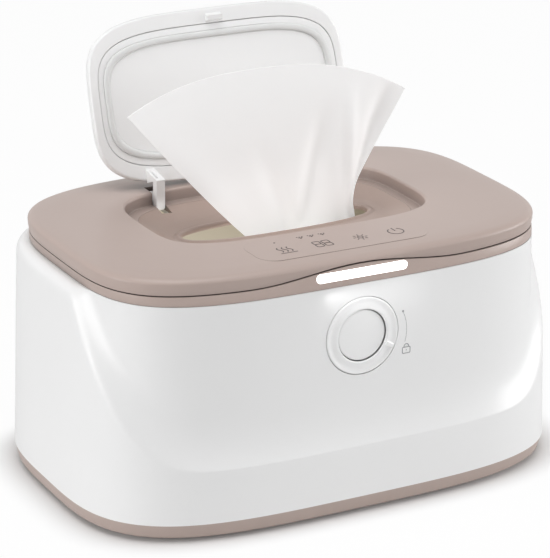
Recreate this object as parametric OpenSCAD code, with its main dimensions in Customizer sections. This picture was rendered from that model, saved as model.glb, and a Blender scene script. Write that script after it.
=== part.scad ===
/* [Housing] */
// Width of the housing at its foot
body_w = 243.3; // [236:0.1:252]
// Depth of the housing at its foot
body_d = 167; // [162:0.1:174]
// Height of the housing's top edge above the table
body_top = 109.1; // [104:0.1:114]
// Width across the trim ring that crowns the housing
ring_w = 223.6; // [218:0.1:228]
// Depth across the trim ring
ring_d = 154.2; // [150:0.1:158]
// Squareness of the housing's plan outline
body_square = 3.6; // [3:0.1:4.5]
// Height of the crease that runs across the front
crease_z = 33.4; // [28:0.1:40]
// Height over which the front falls in above the crease
crease_drop = 22; // [16:0.5:28]
// Wall of the moulded shells
wall = 2.4; // [2:0.1:2.8]

/* [Base] */
// Height of the base tray's underside above the table
foot_h = 2; // [1.5:0.1:3]
// Height of the seam between base tray and housing
base_top = 9; // [8:0.1:10]
// Radius of a rubber foot
foot_r = 7; // [5:0.5:9]

/* [Lid] */
// Height of the lid's top above the housing's top edge
lid_rise = 12.9; // [12.5:0.1:13.5]
// Height of the seam between ring and lid above the housing's top edge
seam_rise = 4.8; // [4.6:0.1:5]
// How far the seam arches up at the middle of the front
arch_h = 4.5; // [3.5:0.1:4.6]
// Half of the arch's width
arch_half = 55; // [50:1:62]

/* [Recess and flip lid] */
// Width of the recess that the flip lid closes
recess_w = 136.5; // [130:0.1:140]
// Depth of the recess, front to back
recess_d = 81.7; // [78:0.1:84]
// Centre of the recess behind the housing's centre
recess_y = 5.65; // [4:0.05:7]
// Angle that the open flip lid turns through to close
flip_swing = 105.9; // [100:0.1:108]
// Sideways place of the two flip lid arms
arm_x = 42.6; // [36:0.1:46]

/* [Controls] */
// Height of the dial's centre
dial_z = 84.4; // [82:0.1:88]
// Outer radius of the dial
dial_r = 18.2; // [17:0.1:19]
// Radius of the push button in the dial
button_r = 12; // [11:0.1:12.4]
// Half length of the light bar
light_half = 23; // [18:0.5:28]

/* [Wipe] */
// Width across the top of the raised wipe
wipe_w = 143; // [130:1:150]
// Height of the wipe above the table
wipe_top = 188; // [175:1:195]

/* [Hidden] */

// Colours of the mouldings
white = "#ECECEC";
taupe = "#C6BAB2";
cream = "#CFC8B4";

// Points round the large outlines and round the small ones
big_n = 96;
small_n = 64;

// Half sizes of the plan outlines
foot_a = body_w / 2;
foot_b = body_d / 2;
neck_a = foot_a - 3.65;
neck_b = foot_b - 3.5;
ring_a = ring_w / 2;
ring_b = ring_d / 2;
ring_square = 3.8;
recess_a = recess_w / 2;
recess_b = recess_d / 2;
recess_square = 4;

// Heights of the lid and of what it closes on
seam_z = body_top + seam_rise;
lid_top = body_top + lid_rise;
skin_z = lid_top - wall;
ledge_z = lid_top - 5.8;
ledge_under = ledge_z - 1.6;
liner_top = ledge_under - 1;
liner_z = liner_top - 1.6;
rim_z = body_top + 1.5;
shoulder_z = body_top - 6.1;

// The funnel and its dispensing slot
ledge_a = recess_a - 5.55;
ledge_b = recess_b - 5.55;
slot_a = 48;
slot_b = 11.5;
slot_square = 2.6;

// The tub that holds the wipes
tub_y = 4;
tub_a = 101;
tub_b = 55;
tub_square = 6;
tub_floor = 20;
tub_under = tub_floor - 2;

// Lid hinge behind the ring
hinge_y = ring_b + 2.8;
hinge_z = body_top + 3.4;
hinge_x = 50;
knuckle_r = 2.9;
pin_r = 1.5;
fit = 0.06;

// Flip lid hinge, and the arms that reach from it
flip_pivot = [0, recess_y + recess_b + 3.9, lid_top - 3.8];
flip_pin_r = 1.2;
flip_hub_r = 2.6;
arm_w = 4.6;
arm_slot_w = 5.2;
arm_slot_front = recess_y + 28.2;
arm_slot_back = flip_pivot[1] + 3.2;
flip_gap = 0.45;
// The gap is three times wider behind, where the lid swings past the recess's edge
flip_a = recess_a - flip_gap;
flip_b = recess_b - 2 * flip_gap;
flip_y = recess_y - flip_gap;
flange_z = ledge_z + 0.3;

// Dial, button and latch
front_y = -foot_b + 6.05;
dial_face_y = front_y - 0.5;
bore_r = 15.2;
boss_back = front_y + 6.4;
stem_r = 6;
latch_y = -64.6;
latch_t = 2.2;
lock_angle = -25;
lock_turn = 48;
catch_y = -68.9;

// Screw places: base to tub, liner to lid
base_screw_at = [[-86, -30], [86, -30], [-86, 38], [86, 38]];
lid_screw_at = [[-88, -42], [88, -42], [-88, 49], [88, 49], [-28, 55], [28, 55]];
foot_at = [[-88, -50], [88, -50], [-88, 50], [88, 50]];

function mix(a, b, k) = a + (b - a) * k;
function clamp01(k) = max(0, min(1, k));
function ease(k) = let (c = clamp01(k)) c * c * (3 - 2 * c);
function soft_max(a, b, s) = s * ln(exp(a / s) + exp(b / s));

// Reach of a unit superellipse of squareness n in the direction t
function reach(n, t) = pow(pow(abs(cos(t)), n) + pow(abs(sin(t)), n), -1 / n);

// Ring of points at height z, half sizes a and b, squareness n, centred at y = cy
function ring(a, b, z, n, cy = 0, count = big_n) = [
    for (i = [0 : count - 1]) let (t = 360 * i / count, r = reach(n, t))
        [a * r * cos(t), b * r * sin(t) + cy, z]
];
function plan(a, b, n, cy = 0, count = big_n) = [for (p = ring(a, b, 0, n, cy, count)) [p[0], p[1]]];

// Rise of the lid seam above its level part, for a point of the outline
function arch(p) = p[1] > 0 || abs(p[0]) > arch_half ? 0 : arch_h * (1 + cos(180 * p[0] / arch_half)) / 2;
function lifted(points) = [for (p = points) [p[0], p[1], p[2] + arch(p)]];

function centre(points) = [for (k = [0 : 2]) (points[0][k] + points[len(points) / 2][k]) / 2];

// Solid through a stack of rings; a loop joins the last ring to the first, else both ends are capped
module loft(rings, loop = false) {
    n = len(rings[0]);
    m = len(rings);
    last = loop ? m - 1 : m - 2;
    side = [
        for (k = [0 : last], i = [0 : n - 1])
            let (a = k * n, b = (k + 1) % m * n, j = (i + 1) % n)
                each [[a + i, b + i, b + j], [a + i, b + j, a + j]]
    ];
    ends = loop ? [] : [centre(rings[0]), centre(rings[m - 1])];
    caps = loop ? [] : [
        for (i = [0 : n - 1]) let (j = (i + 1) % n) each [[m * n, i, j], [m * n + 1, (m - 1) * n + j, (m - 1) * n + i]]
    ];
    polyhedron(points = [for (r = rings) each r, each ends], faces = concat(side, caps), convexity = 8);
}

// Upright slab with the plan outline of half sizes a and b
module slab(a, b, z0, z1, n, cy = 0, count = small_n) {
    translate([0, 0, z0]) linear_extrude(z1 - z0) polygon(plan(a, b, n, cy, count));
}

// Bar along Y with round ends, length 2 * half across X
module stadium_y(half, r, y0, y1) {
    translate([0, y1, 0]) rotate([90, 0, 0]) linear_extrude(y1 - y0) union() {
        square([2 * (half - r), 2 * r], center = true);
        for (s = [-1, 1]) translate([s * (half - r), 0]) circle(r, $fn = 48);
    }
}

module along_y(x, z, y0, y1, r) {
    translate([x, y1, z]) rotate([90, 0, 0]) cylinder(h = y1 - y0, r = r, $fn = 64);
}

module along_x(y, z, x0, x1, r) {
    translate([x0, y, z]) rotate([0, 90, 0]) cylinder(h = x1 - x0, r = r, $fn = 48);
}

module block(x0, x1, y0, y1, z0, z1) {
    translate([x0, y0, z0]) cube([x1 - x0, y1 - y0, z1 - z0]);
}

module both_sides() {
    children();
    mirror([1, 0, 0]) children();
}

// Height of the crease where the outline is at depth y: level in front, climbing along the sides
function crease_at(y) = soft_max(crease_z, 61 + 1.45 * (y + 55), 3);

// Share of the step back above the crease: sudden at the crease itself, fading out above it
function fall_in(k) = let (c = 1 - clamp01(k)) 1 - c * c;

// Housing surface at height z in the direction t
function housing_point(t, z) =
    let (
        k = (z - base_top) / (shoulder_z - base_top),
        top = clamp01((z - shoulder_z) / (body_top - shoulder_z)),
        round_in = 1 - sqrt(1 - top * top),
        n = mix(body_square, ring_square, clamp01(k)),
        full_a = mix(mix(foot_a, neck_a, min(k, 1)), ring_a + 0.6, round_in),
        full_b = mix(mix(foot_b, neck_b, min(k, 1)), ring_b + 0.5, round_in),
        in_a = ring_a + 0.2 + 0.02 * (body_top - z),
        in_b = ring_b + 0.2 + 0.01 * (body_top - z),
        r = reach(n, t),
        y = full_b * r * sin(t),
        w = fall_in((z - crease_at(y)) / crease_drop)
    )
    [mix(full_a, in_a, w) * r * cos(t), mix(full_b, in_b, w) * r * sin(t), z];
function housing_ring(z) = [for (i = [0 : big_n - 1]) housing_point(360 * i / big_n, z)];

module outer_housing() {
    levels = [9, 22, 33.4, 35.6, 38.5, 42, 46, 50.5, 55.4, 61, 67, 73, 79, 85, 91, 97, 103, 106, 108.3, 109.1];
    scale_z = body_top / 109.1;
    outside = [for (z = levels) housing_ring(max(base_top, z * scale_z))];
    inner_a = ring_a - wall - 0.2;
    inner_b = ring_b - wall - 0.2;
    inside = [
        ring(inner_a - 2.8, inner_b - 2.8, body_top, ring_square),
        ring(inner_a - 2.8, inner_b - 2.8, body_top - 2.4, ring_square),
        ring(inner_a, inner_b, body_top - 5, ring_square),
        ring(inner_a + 1, inner_b + 0.6, crease_z + crease_drop + 6, ring_square),
        ring(foot_a - wall - 0.5, foot_b - wall - 0.5, crease_z - 4, body_square),
        ring(foot_a - wall, foot_b - wall, base_top, body_square)
    ];
    color(white) difference() {
        union() {
            loft(concat(outside, inside), loop = true);
            along_y(0, dial_z, front_y + 1, boss_back, dial_r + 3);
            dial_stops();
        }
        along_y(0, dial_z, front_y - 5, boss_back + 5, bore_r);
        along_y(0, dial_z, front_y - 5, front_y + 2.2, dial_r + 0.3);
        along_y(socket_x, socket_z, foot_b - 12, foot_b + 5, 4.6);
        block(-12, 12, -ring_b + 2.5, -ring_b + 20, body_top - 8, body_top + 1);
    }
}

// Ribs behind the dial boss where the lock lug comes to rest
module dial_stops() {
    for (a = [lock_angle - 14, lock_angle + lock_turn + 14])
        translate([0, boss_back - 0.5, dial_z]) rotate([0, -a, 0]) block(bore_r + 2.9, dial_r + 3, 0, 2.4, -1.2, 1.2);
}

module base_tray() {
    inset = 0.5;
    rib = 1.2;
    rings = [
        ring(foot_a - 2.6, foot_b - 2.6, foot_h, body_square),
        ring(foot_a - 1.3, foot_b - 1.6, foot_h + 1, body_square),
        ring(foot_a, foot_b, base_top, body_square),
        ring(foot_a - wall - inset, foot_b - wall - inset, base_top, body_square),
        ring(foot_a - wall - inset, foot_b - wall - inset, base_top + 3.5, body_square),
        ring(foot_a - 2 * wall, foot_b - 2 * wall, base_top + 3.5, body_square),
        ring(foot_a - 2 * wall - 1, foot_b - 2 * wall - 1, foot_h + 2.5, body_square)
    ];
    color(taupe) difference() {
        union() {
            loft(rings);
            for (p = base_screw_at) translate([p[0], p[1], foot_h + 2]) cylinder(h = 4, r = 5, $fn = 48);
            for (y = [-20, 28]) block(-72, 72, y - rib, y + rib, foot_h + 2, 10.5);
            difference() {
                block(-54, 54, 64.4, 69.2, foot_h + 2, 9);
                block(-50, 50, board_y, board_y + 1.6, 6, 10);
            }
        }
        for (p = base_screw_at) translate([p[0], p[1], 0]) {
            cylinder(h = 12, r = 2, $fn = 32);
            cylinder(h = foot_h + 2, r = 3.6, $fn = 32);
        }
        for (x = [-60 : 12 : 60]) if (abs(x) < 50) block(x - 1.5, x + 1.5, -8, 16, 0, foot_h + 3);
    }
}

module rubber_feet() {
    color("#3A3A3C") for (p = foot_at) translate([p[0], p[1], 0]) {
        cylinder(h = 0.8, r1 = foot_r - 0.8, r2 = foot_r, $fn = 48);
        translate([0, 0, 0.8]) cylinder(h = foot_h - 0.8, r = foot_r, $fn = 48);
    }
}

// Pan head screw standing on its head at z = 0, with a cross recess
module screw(head_r, head_h, shank_r, length) {
    difference() {
        union() {
            cylinder(h = head_h, r = head_r, $fn = 32);
            translate([0, 0, head_h]) cylinder(h = length, r = shank_r, $fn = 32);
        }
        for (a = [0, 90]) rotate([0, 0, a]) block(-0.6 * head_r, 0.6 * head_r, -0.35, 0.35, -1, 0.5 * head_h);
    }
}

module base_screws() {
    color("#9A9C9E") for (p = base_screw_at) translate([p[0], p[1], foot_h + 0.4]) screw(3.3, 1.6, 1.55, 12);
}

// Centre height of the light bar and of the pocket that holds it
light_z = body_top + 5;
light_r = 2.1;

module trim_ring() {
    top_gap = 0.35;
    top = seam_z - top_gap;
    inner_a = ring_a - 5.3;
    inner_b = ring_b - 5.3;
    rings = [
        ring(ring_a, ring_b, body_top, ring_square),
        ring(ring_a + 0.3, ring_b - 0.3, body_top + 2.2, ring_square),
        lifted(ring(ring_a + 0.4, ring_b - 1.1, top, ring_square)),
        lifted(ring(inner_a, inner_b, top, ring_square)),
        ring(inner_a, inner_b, rim_z + 0.05, ring_square),
        ring(ring_a - 2.1, ring_b - 2.1, rim_z + 0.05, ring_square),
        ring(ring_a - 2.1, ring_b - 2.1, body_top, ring_square)
    ];
    color(taupe) difference() {
        union() {
            loft(rings, loop = true);
            both_sides() for (x = [hinge_x - 7, hinge_x + 7]) {
                along_x(hinge_y, hinge_z, x - 3, x + 3, knuckle_r);
                block(x - 3, x + 3, ring_b - 2.6, hinge_y, hinge_z - knuckle_r, seam_z - 0.6);
            }
        }
        both_sides() along_x(hinge_y, hinge_z, hinge_x - 12, hinge_x + 12, pin_r);
        translate([0, 0, light_z]) stadium_y(light_half, light_r, -ring_b - 2, -ring_b + 2.8);
        block(-light_half + 3.7, light_half - 3.7, -ring_b + 2.7, -ring_b + 9, light_z - 2, light_z + 2);
    }
}

module light_bar_lens() {
    color("#FFFFFF") translate([0, 0, light_z]) stadium_y(light_half, light_r, -ring_b + 0.45, -ring_b + 2.8);
}

module light_board() {
    color("#2F6B46") block(-light_half + 4, light_half - 4, -ring_b + 4, -ring_b + 5, light_z - 1.9, light_z + 1.9);
    color("#F4E9A8") for (x = [-14, 0, 14])
        block(x - 1.75, x + 1.75, -ring_b + 2.8, -ring_b + 4, light_z - 1.4, light_z + 1.4);
}

// The open cup that holds the wipes, with the rim that carries it on the housing
module inner_tub() {
    post_r = 4;
    rings = [
        ring(tub_a - 7, tub_b - 7, tub_under, tub_square, tub_y, small_n),
        ring(tub_a - 2.6, tub_b - 2.6, tub_under + 2.5, tub_square, tub_y, small_n),
        ring(tub_a + 2, tub_b + 2, rim_z, tub_square, tub_y, small_n),
        ring(tub_a, tub_b, rim_z, tub_square, tub_y, small_n),
        ring(tub_a - 4.4, tub_b - 4.4, tub_floor + 2.5, tub_square, tub_y, small_n),
        ring(tub_a - 8.5, tub_b - 8.5, tub_floor, tub_square, tub_y, small_n)
    ];
    color(cream) difference() {
        union() {
            loft(rings);
            difference() {
                slab(ring_a - 2.4, ring_b - 2.4, body_top, rim_z, ring_square, 0, big_n);
                slab(tub_a + 1, tub_b + 1, body_top - 1, rim_z + 1, tub_square, tub_y);
            }
            for (p = base_screw_at) translate([p[0], p[1], 8]) cylinder(h = tub_under - 7.6, r = post_r, $fn = 48);
            along_y(0, dial_z, tub_y - tub_b - 3.2, tub_y - tub_b + 1, 3);
        }
        for (p = base_screw_at) translate([p[0], p[1], 7]) cylinder(h = 9.6, r = 1.6, $fn = 32);
        block(-12, 12, -ring_b, -ring_b + 20, body_top - 1, rim_z + 1);
    }
}

plate_a = 78;
plate_b = 36;

module heating_plate() {
    plate_t = 1.5;
    color("#C9CCD0") slab(plate_a, plate_b, tub_under - plate_t, tub_under, 5, tub_y);
    color("#B4702E") for (y = [-20 : 8 : 28])
        block(-62, 62, y - 1.2, y + 1.2, tub_under - plate_t - 0.5, tub_under - plate_t);
}

// Places of the sensor and of the fuse under the heating plate
sensor_at = [-24, 0];
fuse_at = [26, 0];

module insulation_pad() {
    color("#D8D2C2") difference() {
        slab(plate_a - 4, plate_b - 3, 10.5, tub_under - 2, 5, tub_y);
        translate([sensor_at[0], sensor_at[1], 8]) cylinder(h = 10, r = 4, $fn = 32);
        block(fuse_at[0] - 9, fuse_at[0] + 9, fuse_at[1] - 3, fuse_at[1] + 3, 8, 20);
    }
}

module temperature_sensor() {
    color("#1E1E20") translate([sensor_at[0], sensor_at[1], tub_under - 5.5]) cylinder(h = 4, r = 2.6, $fn = 32);
    color("#C0C0C0") for (s = [-1, 1])
        translate([sensor_at[0] + s, sensor_at[1], tub_under - 9]) cylinder(h = 3.5, r = 0.3, $fn = 16);
}

module thermal_fuse() {
    z = tub_under - 3.8;
    color("#D9B25A") along_x(fuse_at[1], z, fuse_at[0] - 5, fuse_at[0] + 5, 1.8);
    color("#C0C0C0") along_x(fuse_at[1], z, fuse_at[0] - 8.5, fuse_at[0] + 8.5, 0.4);
}

board_y = 66;

module control_board() {
    color("#2F6B46") block(-49.5, 49.5, board_y, board_y + 1.6, 6, 64);
    color("#1E1E20") {
        block(-8, 4, board_y - 1.4, board_y, 40, 52);
        block(18, 26, board_y - 1.6, board_y, 30, 35);
        block(-34, -24, board_y - 3.6, board_y, 14, 24);
    }
    color("#EDEDEA") {
        block(-46, -34, board_y + 1.6, board_y + 7, 52, 58);
        block(28, 44, board_y + 1.6, board_y + 7, 52, 58);
    }
    color("#4A5C8A") for (x = [-44, 36]) along_y(x, 30, board_y - 4.2, board_y, 3.2);
}

// Low voltage inlet behind the housing's rear wall
socket_x = 62;
socket_z = 18;

module power_socket() {
    back = foot_b - 5.4;
    color("#1E1E20") difference() {
        union() {
            block(socket_x - 5.5, socket_x + 5.5, back - 14, back - 3.5, foot_h + 3, socket_z + 5.5);
            along_y(socket_x, socket_z, back - 4, back + 2.7, 4.4);
        }
        along_y(socket_x, socket_z, back - 9, back + 4, 2.85);
    }
    color("#D8C48A") along_y(socket_x, socket_z, back - 10, back + 1.5, 1);
}

module lid_hinge_pins() {
    color("#B8BABC") both_sides() along_x(hinge_y, hinge_z, hinge_x - 10, hinge_x + 10, pin_r);
}

// Dial seen from the front: a dished ring with a pointer, on a sleeve that turns in the housing
module dial_ring() {
    rim_t = 0.95;
    sleeve_r = bore_r - 0.08;
    sleeve_bore = sleeve_r - 1.3;
    bore = button_r + 0.35;
    color(white) {
        translate([0, dial_face_y, dial_z]) rotate([-90, 0, 0]) rotate_extrude($fn = 96) polygon([
            [bore, 0.5], [bore + 0.5, 0.1], [bore + 1.6, 0.15], [bore + 3.2, 0.65], [dial_r - 1, 0.1],
            [dial_r - 0.4, 0.1], [dial_r, 0.5], [dial_r, 2.6], [sleeve_r, 2.6],
            [sleeve_r, boss_back - dial_face_y + 1.6], [sleeve_bore, boss_back - dial_face_y + 1.6],
            [sleeve_bore, rim_t + 0.6], [sleeve_bore - 0.6, rim_t], [bore, rim_t]
        ]);
        translate([0, dial_face_y, dial_z]) rotate([0, -lock_angle, 0]) difference() {
            block(bore + 0.4, dial_r - 0.6, -0.35, 0.8, -1.5, 1.5);
            translate([bore + 0.4, -1, 0]) rotate([0, -7, 0]) block(-2, 8, 0, 2, 1.1, 4);
            translate([bore + 0.4, -1, 0]) rotate([0, 7, 0]) block(-2, 8, 0, 2, -4, -1.1);
        }
    }
}

// Clip ring that keeps the dial in the housing, with the lug that turns between the stops
module lock_cam() {
    color("#D9D9D9") translate([0, boss_back + 0.1, dial_z]) rotate([-90, 0, 0]) rotate_extrude($fn = 96)
        translate([bore_r - 0.08, 0]) square([2.3, 1.3]);
    color("#D9D9D9") translate([0, boss_back + 0.1, dial_z]) rotate([0, -lock_angle, 0])
        block(bore_r + 1.5, dial_r + 2.4, 0, 1.3, -2.2, 2.2);
}

module open_button() {
    face = dial_face_y + 1.1;
    color(white) {
        translate([0, face, dial_z]) rotate([-90, 0, 0]) rotate_extrude($fn = 96) polygon([
            [0, 0.35], [button_r * 0.5, 0.25], [button_r - 1.2, 0], [button_r - 0.4, 0.05], [button_r, 0.35],
            [button_r, 2.4], [0, 2.4]
        ]);
        along_y(0, dial_z, face + 2.4, latch_y, stem_r);
    }
}

// Plate behind the button whose nose holds the lid's catch
module latch_slide() {
    color("#D9D9D9") {
        block(-9, 9, latch_y, latch_y + latch_t, dial_z - 9, 104);
        translate([-9, latch_y, 104]) rotate([0, 90, 0]) linear_extrude(18) polygon([[0, 0], [0.6, -0.9], [3, -0.9], [3, 0]]);
        for (x = [-9, 7]) block(x, x + 2, latch_y + latch_t, latch_y + latch_t + 2, dial_z - 9, 104);
    }
}

module button_spring() {
    back = tub_y - tub_b - 3.2;
    color("#B8BABC") translate([0, latch_y + latch_t, dial_z]) rotate([-90, 0, 0]) difference() {
        cylinder(h = back + 2.2 - latch_y - latch_t, r = 4.4, $fn = 48);
        translate([0, 0, -1]) cylinder(h = 30, r = 3.3, $fn = 48);
    }
}

// Lid: skirt with the arched edge, rounded rim, top, recess wall and the ledge round the opening
module lid_cover() {
    lip_a = ring_a + 0.9;
    lip_b = ring_b - 1.2;
    in_a = ring_a - 1.6;
    in_b = ring_b - 3.7;
    rings = [
        lifted(ring(lip_a - 0.5, lip_b - 0.4, seam_z + 0.1, ring_square)),
        ring(lip_a, lip_b, lid_top - 3.1, ring_square),
        ring(lip_a - 0.5, lip_b - 0.5, lid_top - 1.9, ring_square),
        ring(lip_a - 1.7, lip_b - 1.7, lid_top - 0.95, ring_square),
        ring(lip_a - 3.6, lip_b - 3.6, lid_top - 0.55, ring_square),
        ring(lip_a - 12, lip_b - 11, lid_top, ring_square),
        ring(recess_a + 1.2, recess_b + 1.2, lid_top, recess_square, recess_y),
        ring(recess_a + 0.35, recess_b + 0.35, lid_top - 0.35, recess_square, recess_y),
        ring(recess_a, recess_b, lid_top - 1.2, recess_square, recess_y),
        ring(recess_a - 0.4, recess_b - 0.4, ledge_z, recess_square, recess_y),
        ring(ledge_a + 0.25, ledge_b + 0.25, ledge_z, recess_square, recess_y),
        ring(ledge_a, ledge_b, ledge_z - 0.25, recess_square, recess_y),
        ring(ledge_a, ledge_b, ledge_under, recess_square, recess_y),
        ring(recess_a + 2.1, recess_b + 2.1, ledge_under, recess_square, recess_y),
        ring(recess_a + 2.1, recess_b + 2.1, skin_z, recess_square, recess_y),
        ring(in_a, in_b, skin_z, ring_square),
        lifted(ring(in_a, in_b, seam_z + 0.1, ring_square))
    ];
    color(taupe) difference() {
        union() {
            loft(rings, loop = true);
            both_sides() {
                along_x(hinge_y, hinge_z, hinge_x - 3.7, hinge_x + 3.7, knuckle_r);
                hull() {
                    block(hinge_x - 3.7, hinge_x + 3.7, lip_b - 3, lip_b - 1, seam_z + 0.2, lid_top - 3.4);
                    block(hinge_x - 3.7, hinge_x + 3.7, hinge_y - 0.5, hinge_y + 0.5, hinge_z + 1.8, hinge_z + 2.6);
                }
                flip_bracket(arm_x - arm_slot_w / 2 - 1.8);
                flip_bracket(arm_x + arm_slot_w / 2);
            }
            for (p = lid_screw_at) translate([p[0], p[1], liner_top]) cylinder(h = skin_z - liner_top + 0.5, r = 3.2, $fn = 32);
        }
        both_sides() {
            along_x(hinge_y, hinge_z, hinge_x - 5, hinge_x + 5, pin_r + fit);
            block(arm_x - arm_slot_w / 2, arm_x + arm_slot_w / 2, arm_slot_front, arm_slot_back, 100, lid_top + 3);
            along_x(flip_pivot[1], flip_pivot[2], arm_x - 5.6, arm_x + 5.6, flip_pin_r);
        }
        for (p = lid_screw_at) translate([p[0], p[1], liner_top - 1]) cylinder(h = 5, r = 1.3, $fn = 32);
        block(-5.5, 5.5, recess_y - ledge_b - 3.6, recess_y - ledge_b + 2, ledge_under - 3, ledge_z + 0.2);
        touch_shape(0.25, lid_top - 0.4, lid_top + 1);
    }
}

// Cheek under the lid's top that carries one end of a flip lid pin
module flip_bracket(x) {
    block(x, x + 1.8, recess_y + recess_b + 1, flip_pivot[1] + 2.6, flip_pivot[2] - 2.6, skin_z + 0.4);
}

// Outline of the touch field, grown by e
module touch_shape(e, z0, z1) {
    translate([0, -53, z0]) linear_extrude(z1 - z0) union() {
        square([86 + 2 * e, 9 + 2 * e], center = true);
        square([68 + 2 * e, 27 + 2 * e], center = true);
        for (x = [-34, 34], y = [-4.5, 4.5]) translate([x, y]) circle(9 + e, $fn = 48);
    }
}

module touch_panel() {
    color(taupe) touch_shape(0.2, lid_top - 0.4, lid_top + 0.06);
}

module touch_board() {
    color("#2F6B46") block(-42, 42, -66, -42, skin_z - 1.6, skin_z);
    color("#1E1E20") block(-13, -3, -57, -47, skin_z - 3.4, skin_z - 1.6);
    color("#EDEDEA") block(20, 34, -50, -45, skin_z - 5, skin_z - 1.6);
}

module lid_liner() {
    out_a = ring_a - 6.3;
    out_b = ring_b - 6.3;
    color("#E6E4DE") difference() {
        union() {
            slab(out_a, out_b, liner_z, liner_top, ring_square, 0, big_n);
            difference() {
                slab(out_a, out_b, liner_z, skin_z, ring_square, 0, big_n);
                slab(out_a - 2, out_b - 2, liner_z - 1, skin_z + 1, ring_square, 0, big_n);
            }
        }
        slab(ledge_a - 0.6, ledge_b - 0.6, liner_z - 1, liner_top + 1, recess_square, recess_y);
        both_sides() block(arm_x - arm_slot_w / 2, arm_x + arm_slot_w / 2, arm_slot_front, flip_pivot[1] + 6.8, 100, liner_top + 4);
        for (p = lid_screw_at) translate([p[0], p[1], liner_z - 1]) cylinder(h = 5, r = 1.5, $fn = 32);
    }
}

module lid_gasket() {
    color("#BDBDB8") difference() {
        slab(tub_a + 1.9, tub_b + 2.2, rim_z + 0.3, liner_z, tub_square, tub_y);
        slab(tub_a + 0.4, tub_b + 0.7, rim_z - 1, liner_z + 1, tub_square, tub_y);
    }
}

// Funnel under the ledge: sloping sides, a level floor and the rolled edge of the dispensing slot
module dispenser_insert() {
    // Rolled edge from below to above: distance from the slot's wall, and height
    roll = [[3.4, 0.9], [1.6, 0], [0.4, 0.1], [0, 0.6], [0, 1.8], [0.4, 2.3], [1.4, 2.6], [2.5, 2.4], [3.2, 1.9]];
    // Height of the slot's underside, from which the roll is measured
    lip_z = ledge_z - 6.2;
    floor_z = lip_z + 2.3;
    below = [
        ring(ledge_a + 3.6, ledge_b + 3.6, ledge_under, recess_square, recess_y, small_n),
        ring(ledge_a + 3.6, ledge_b + 3.6, liner_top, recess_square, recess_y, small_n),
        ring(ledge_a - 0.7, ledge_b - 0.7, liner_top, recess_square, recess_y, small_n),
        ring(ledge_a - 7.5, ledge_b - 13.5, floor_z - 1.6, 3.4, recess_y, small_n)
    ];
    edge = [for (s = roll) ring(slot_a + s[0], slot_b + s[0], lip_z + s[1], slot_square, recess_y, small_n)];
    above = [
        ring(ledge_a - 8.7, ledge_b - 14.3, floor_z, 3.4, recess_y, small_n),
        ring(ledge_a - 7.2, ledge_b - 12.2, floor_z + 0.5, 3.6, recess_y, small_n),
        ring(ledge_a - 0.7, ledge_b - 0.9, ledge_z - 0.4, recess_square, recess_y, small_n),
        ring(ledge_a - 0.13, ledge_b - 0.13, ledge_z - 0.25, recess_square, recess_y, small_n),
        ring(ledge_a - 0.13, ledge_b - 0.13, ledge_under, recess_square, recess_y, small_n)
    ];
    color(taupe) difference() {
        loft(concat(below, edge, above), loop = true);
        both_sides() block(arm_x - arm_slot_w / 2, arm_x + arm_slot_w / 2, arm_slot_front, 70, 100, lid_top);
        block(-5.5, 5.5, recess_y - ledge_b - 3.6, recess_y - ledge_b + 3.4, ledge_z - 2.6, lid_top);
    }
}

module lid_screws() {
    color("#9A9C9E") for (p = lid_screw_at) translate([p[0], p[1], liner_z - 1.5]) screw(2.6, 1.5, 1.25, 5.6);
}

// Hook under the lid's front edge that the latch holds
module lid_catch() {
    color("#E6E4DE") {
        block(-10, 10, catch_y, catch_y + 8, rim_z + 0.3, liner_z);
        block(-7, 7, catch_y, catch_y + 1.6, 98, liner_z);
        translate([-7, catch_y + 1.6, 98]) rotate([90, 0, 90]) linear_extrude(14) polygon([[0, 0], [1.4, 2.6], [1.4, 3], [0, 3]]);
        for (x = [-7, 5.4]) translate([x, catch_y + 1.6, liner_z]) rotate([0, 90, 0]) linear_extrude(1.6) polygon([[0, 0], [6, 0], [0, 4]]);
    }
}

module flip_hinge_pins() {
    color("#B8BABC") both_sides() along_x(flip_pivot[1], flip_pivot[2], arm_x - 4.4, arm_x + 4.4, flip_pin_r);
}

// Closed flip lid turned to the open place that it is drawn in
function opened_at(y, z) =
    let (c = cos(flip_swing), s = sin(flip_swing), dy = y - flip_pivot[1], dz = z - flip_pivot[2])
    [flip_pivot[1] + dy * c + dz * s, flip_pivot[2] - dy * s + dz * c];
module opened() {
    translate(flip_pivot) rotate([-flip_swing, 0, 0]) translate(-flip_pivot) children();
}

// Step line on the flip lid's inner side
step_a = flip_a - 4.4;
step_b = flip_b - 7.4;

module flip_cover() {
    rings = [
        ring(step_a - 0.2, step_b - 0.2, lid_top - 2.2, recess_square, flip_y, small_n),
        ring(step_a, step_b, flange_z, recess_square, flip_y, small_n),
        ring(flip_a - 0.9, flip_b - 0.9, flange_z, recess_square, flip_y, small_n),
        ring(flip_a - 0.2, flip_b - 0.2, flange_z + 0.9, recess_square, flip_y, small_n),
        ring(flip_a, flip_b, flange_z + 2.6, recess_square, flip_y, small_n),
        ring(flip_a - 0.6, flip_b - 0.6, lid_top - 1.2, recess_square, flip_y, small_n),
        ring(flip_a - 2.2, flip_b - 2.2, lid_top - 0.3, recess_square, flip_y, small_n),
        ring(flip_a - 5.5, flip_b - 5.5, lid_top, recess_square, flip_y, small_n),
        ring(flip_a - 30, flip_b - 24, lid_top + 0.3, recess_square, flip_y, small_n)
    ];
    color(white) opened() loft(rings);
}

// Place of the seal on the flip lid's inner side
seal_a = step_a - 2.9;
seal_b = step_b - 3.4;
seal_w = 3;

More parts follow.
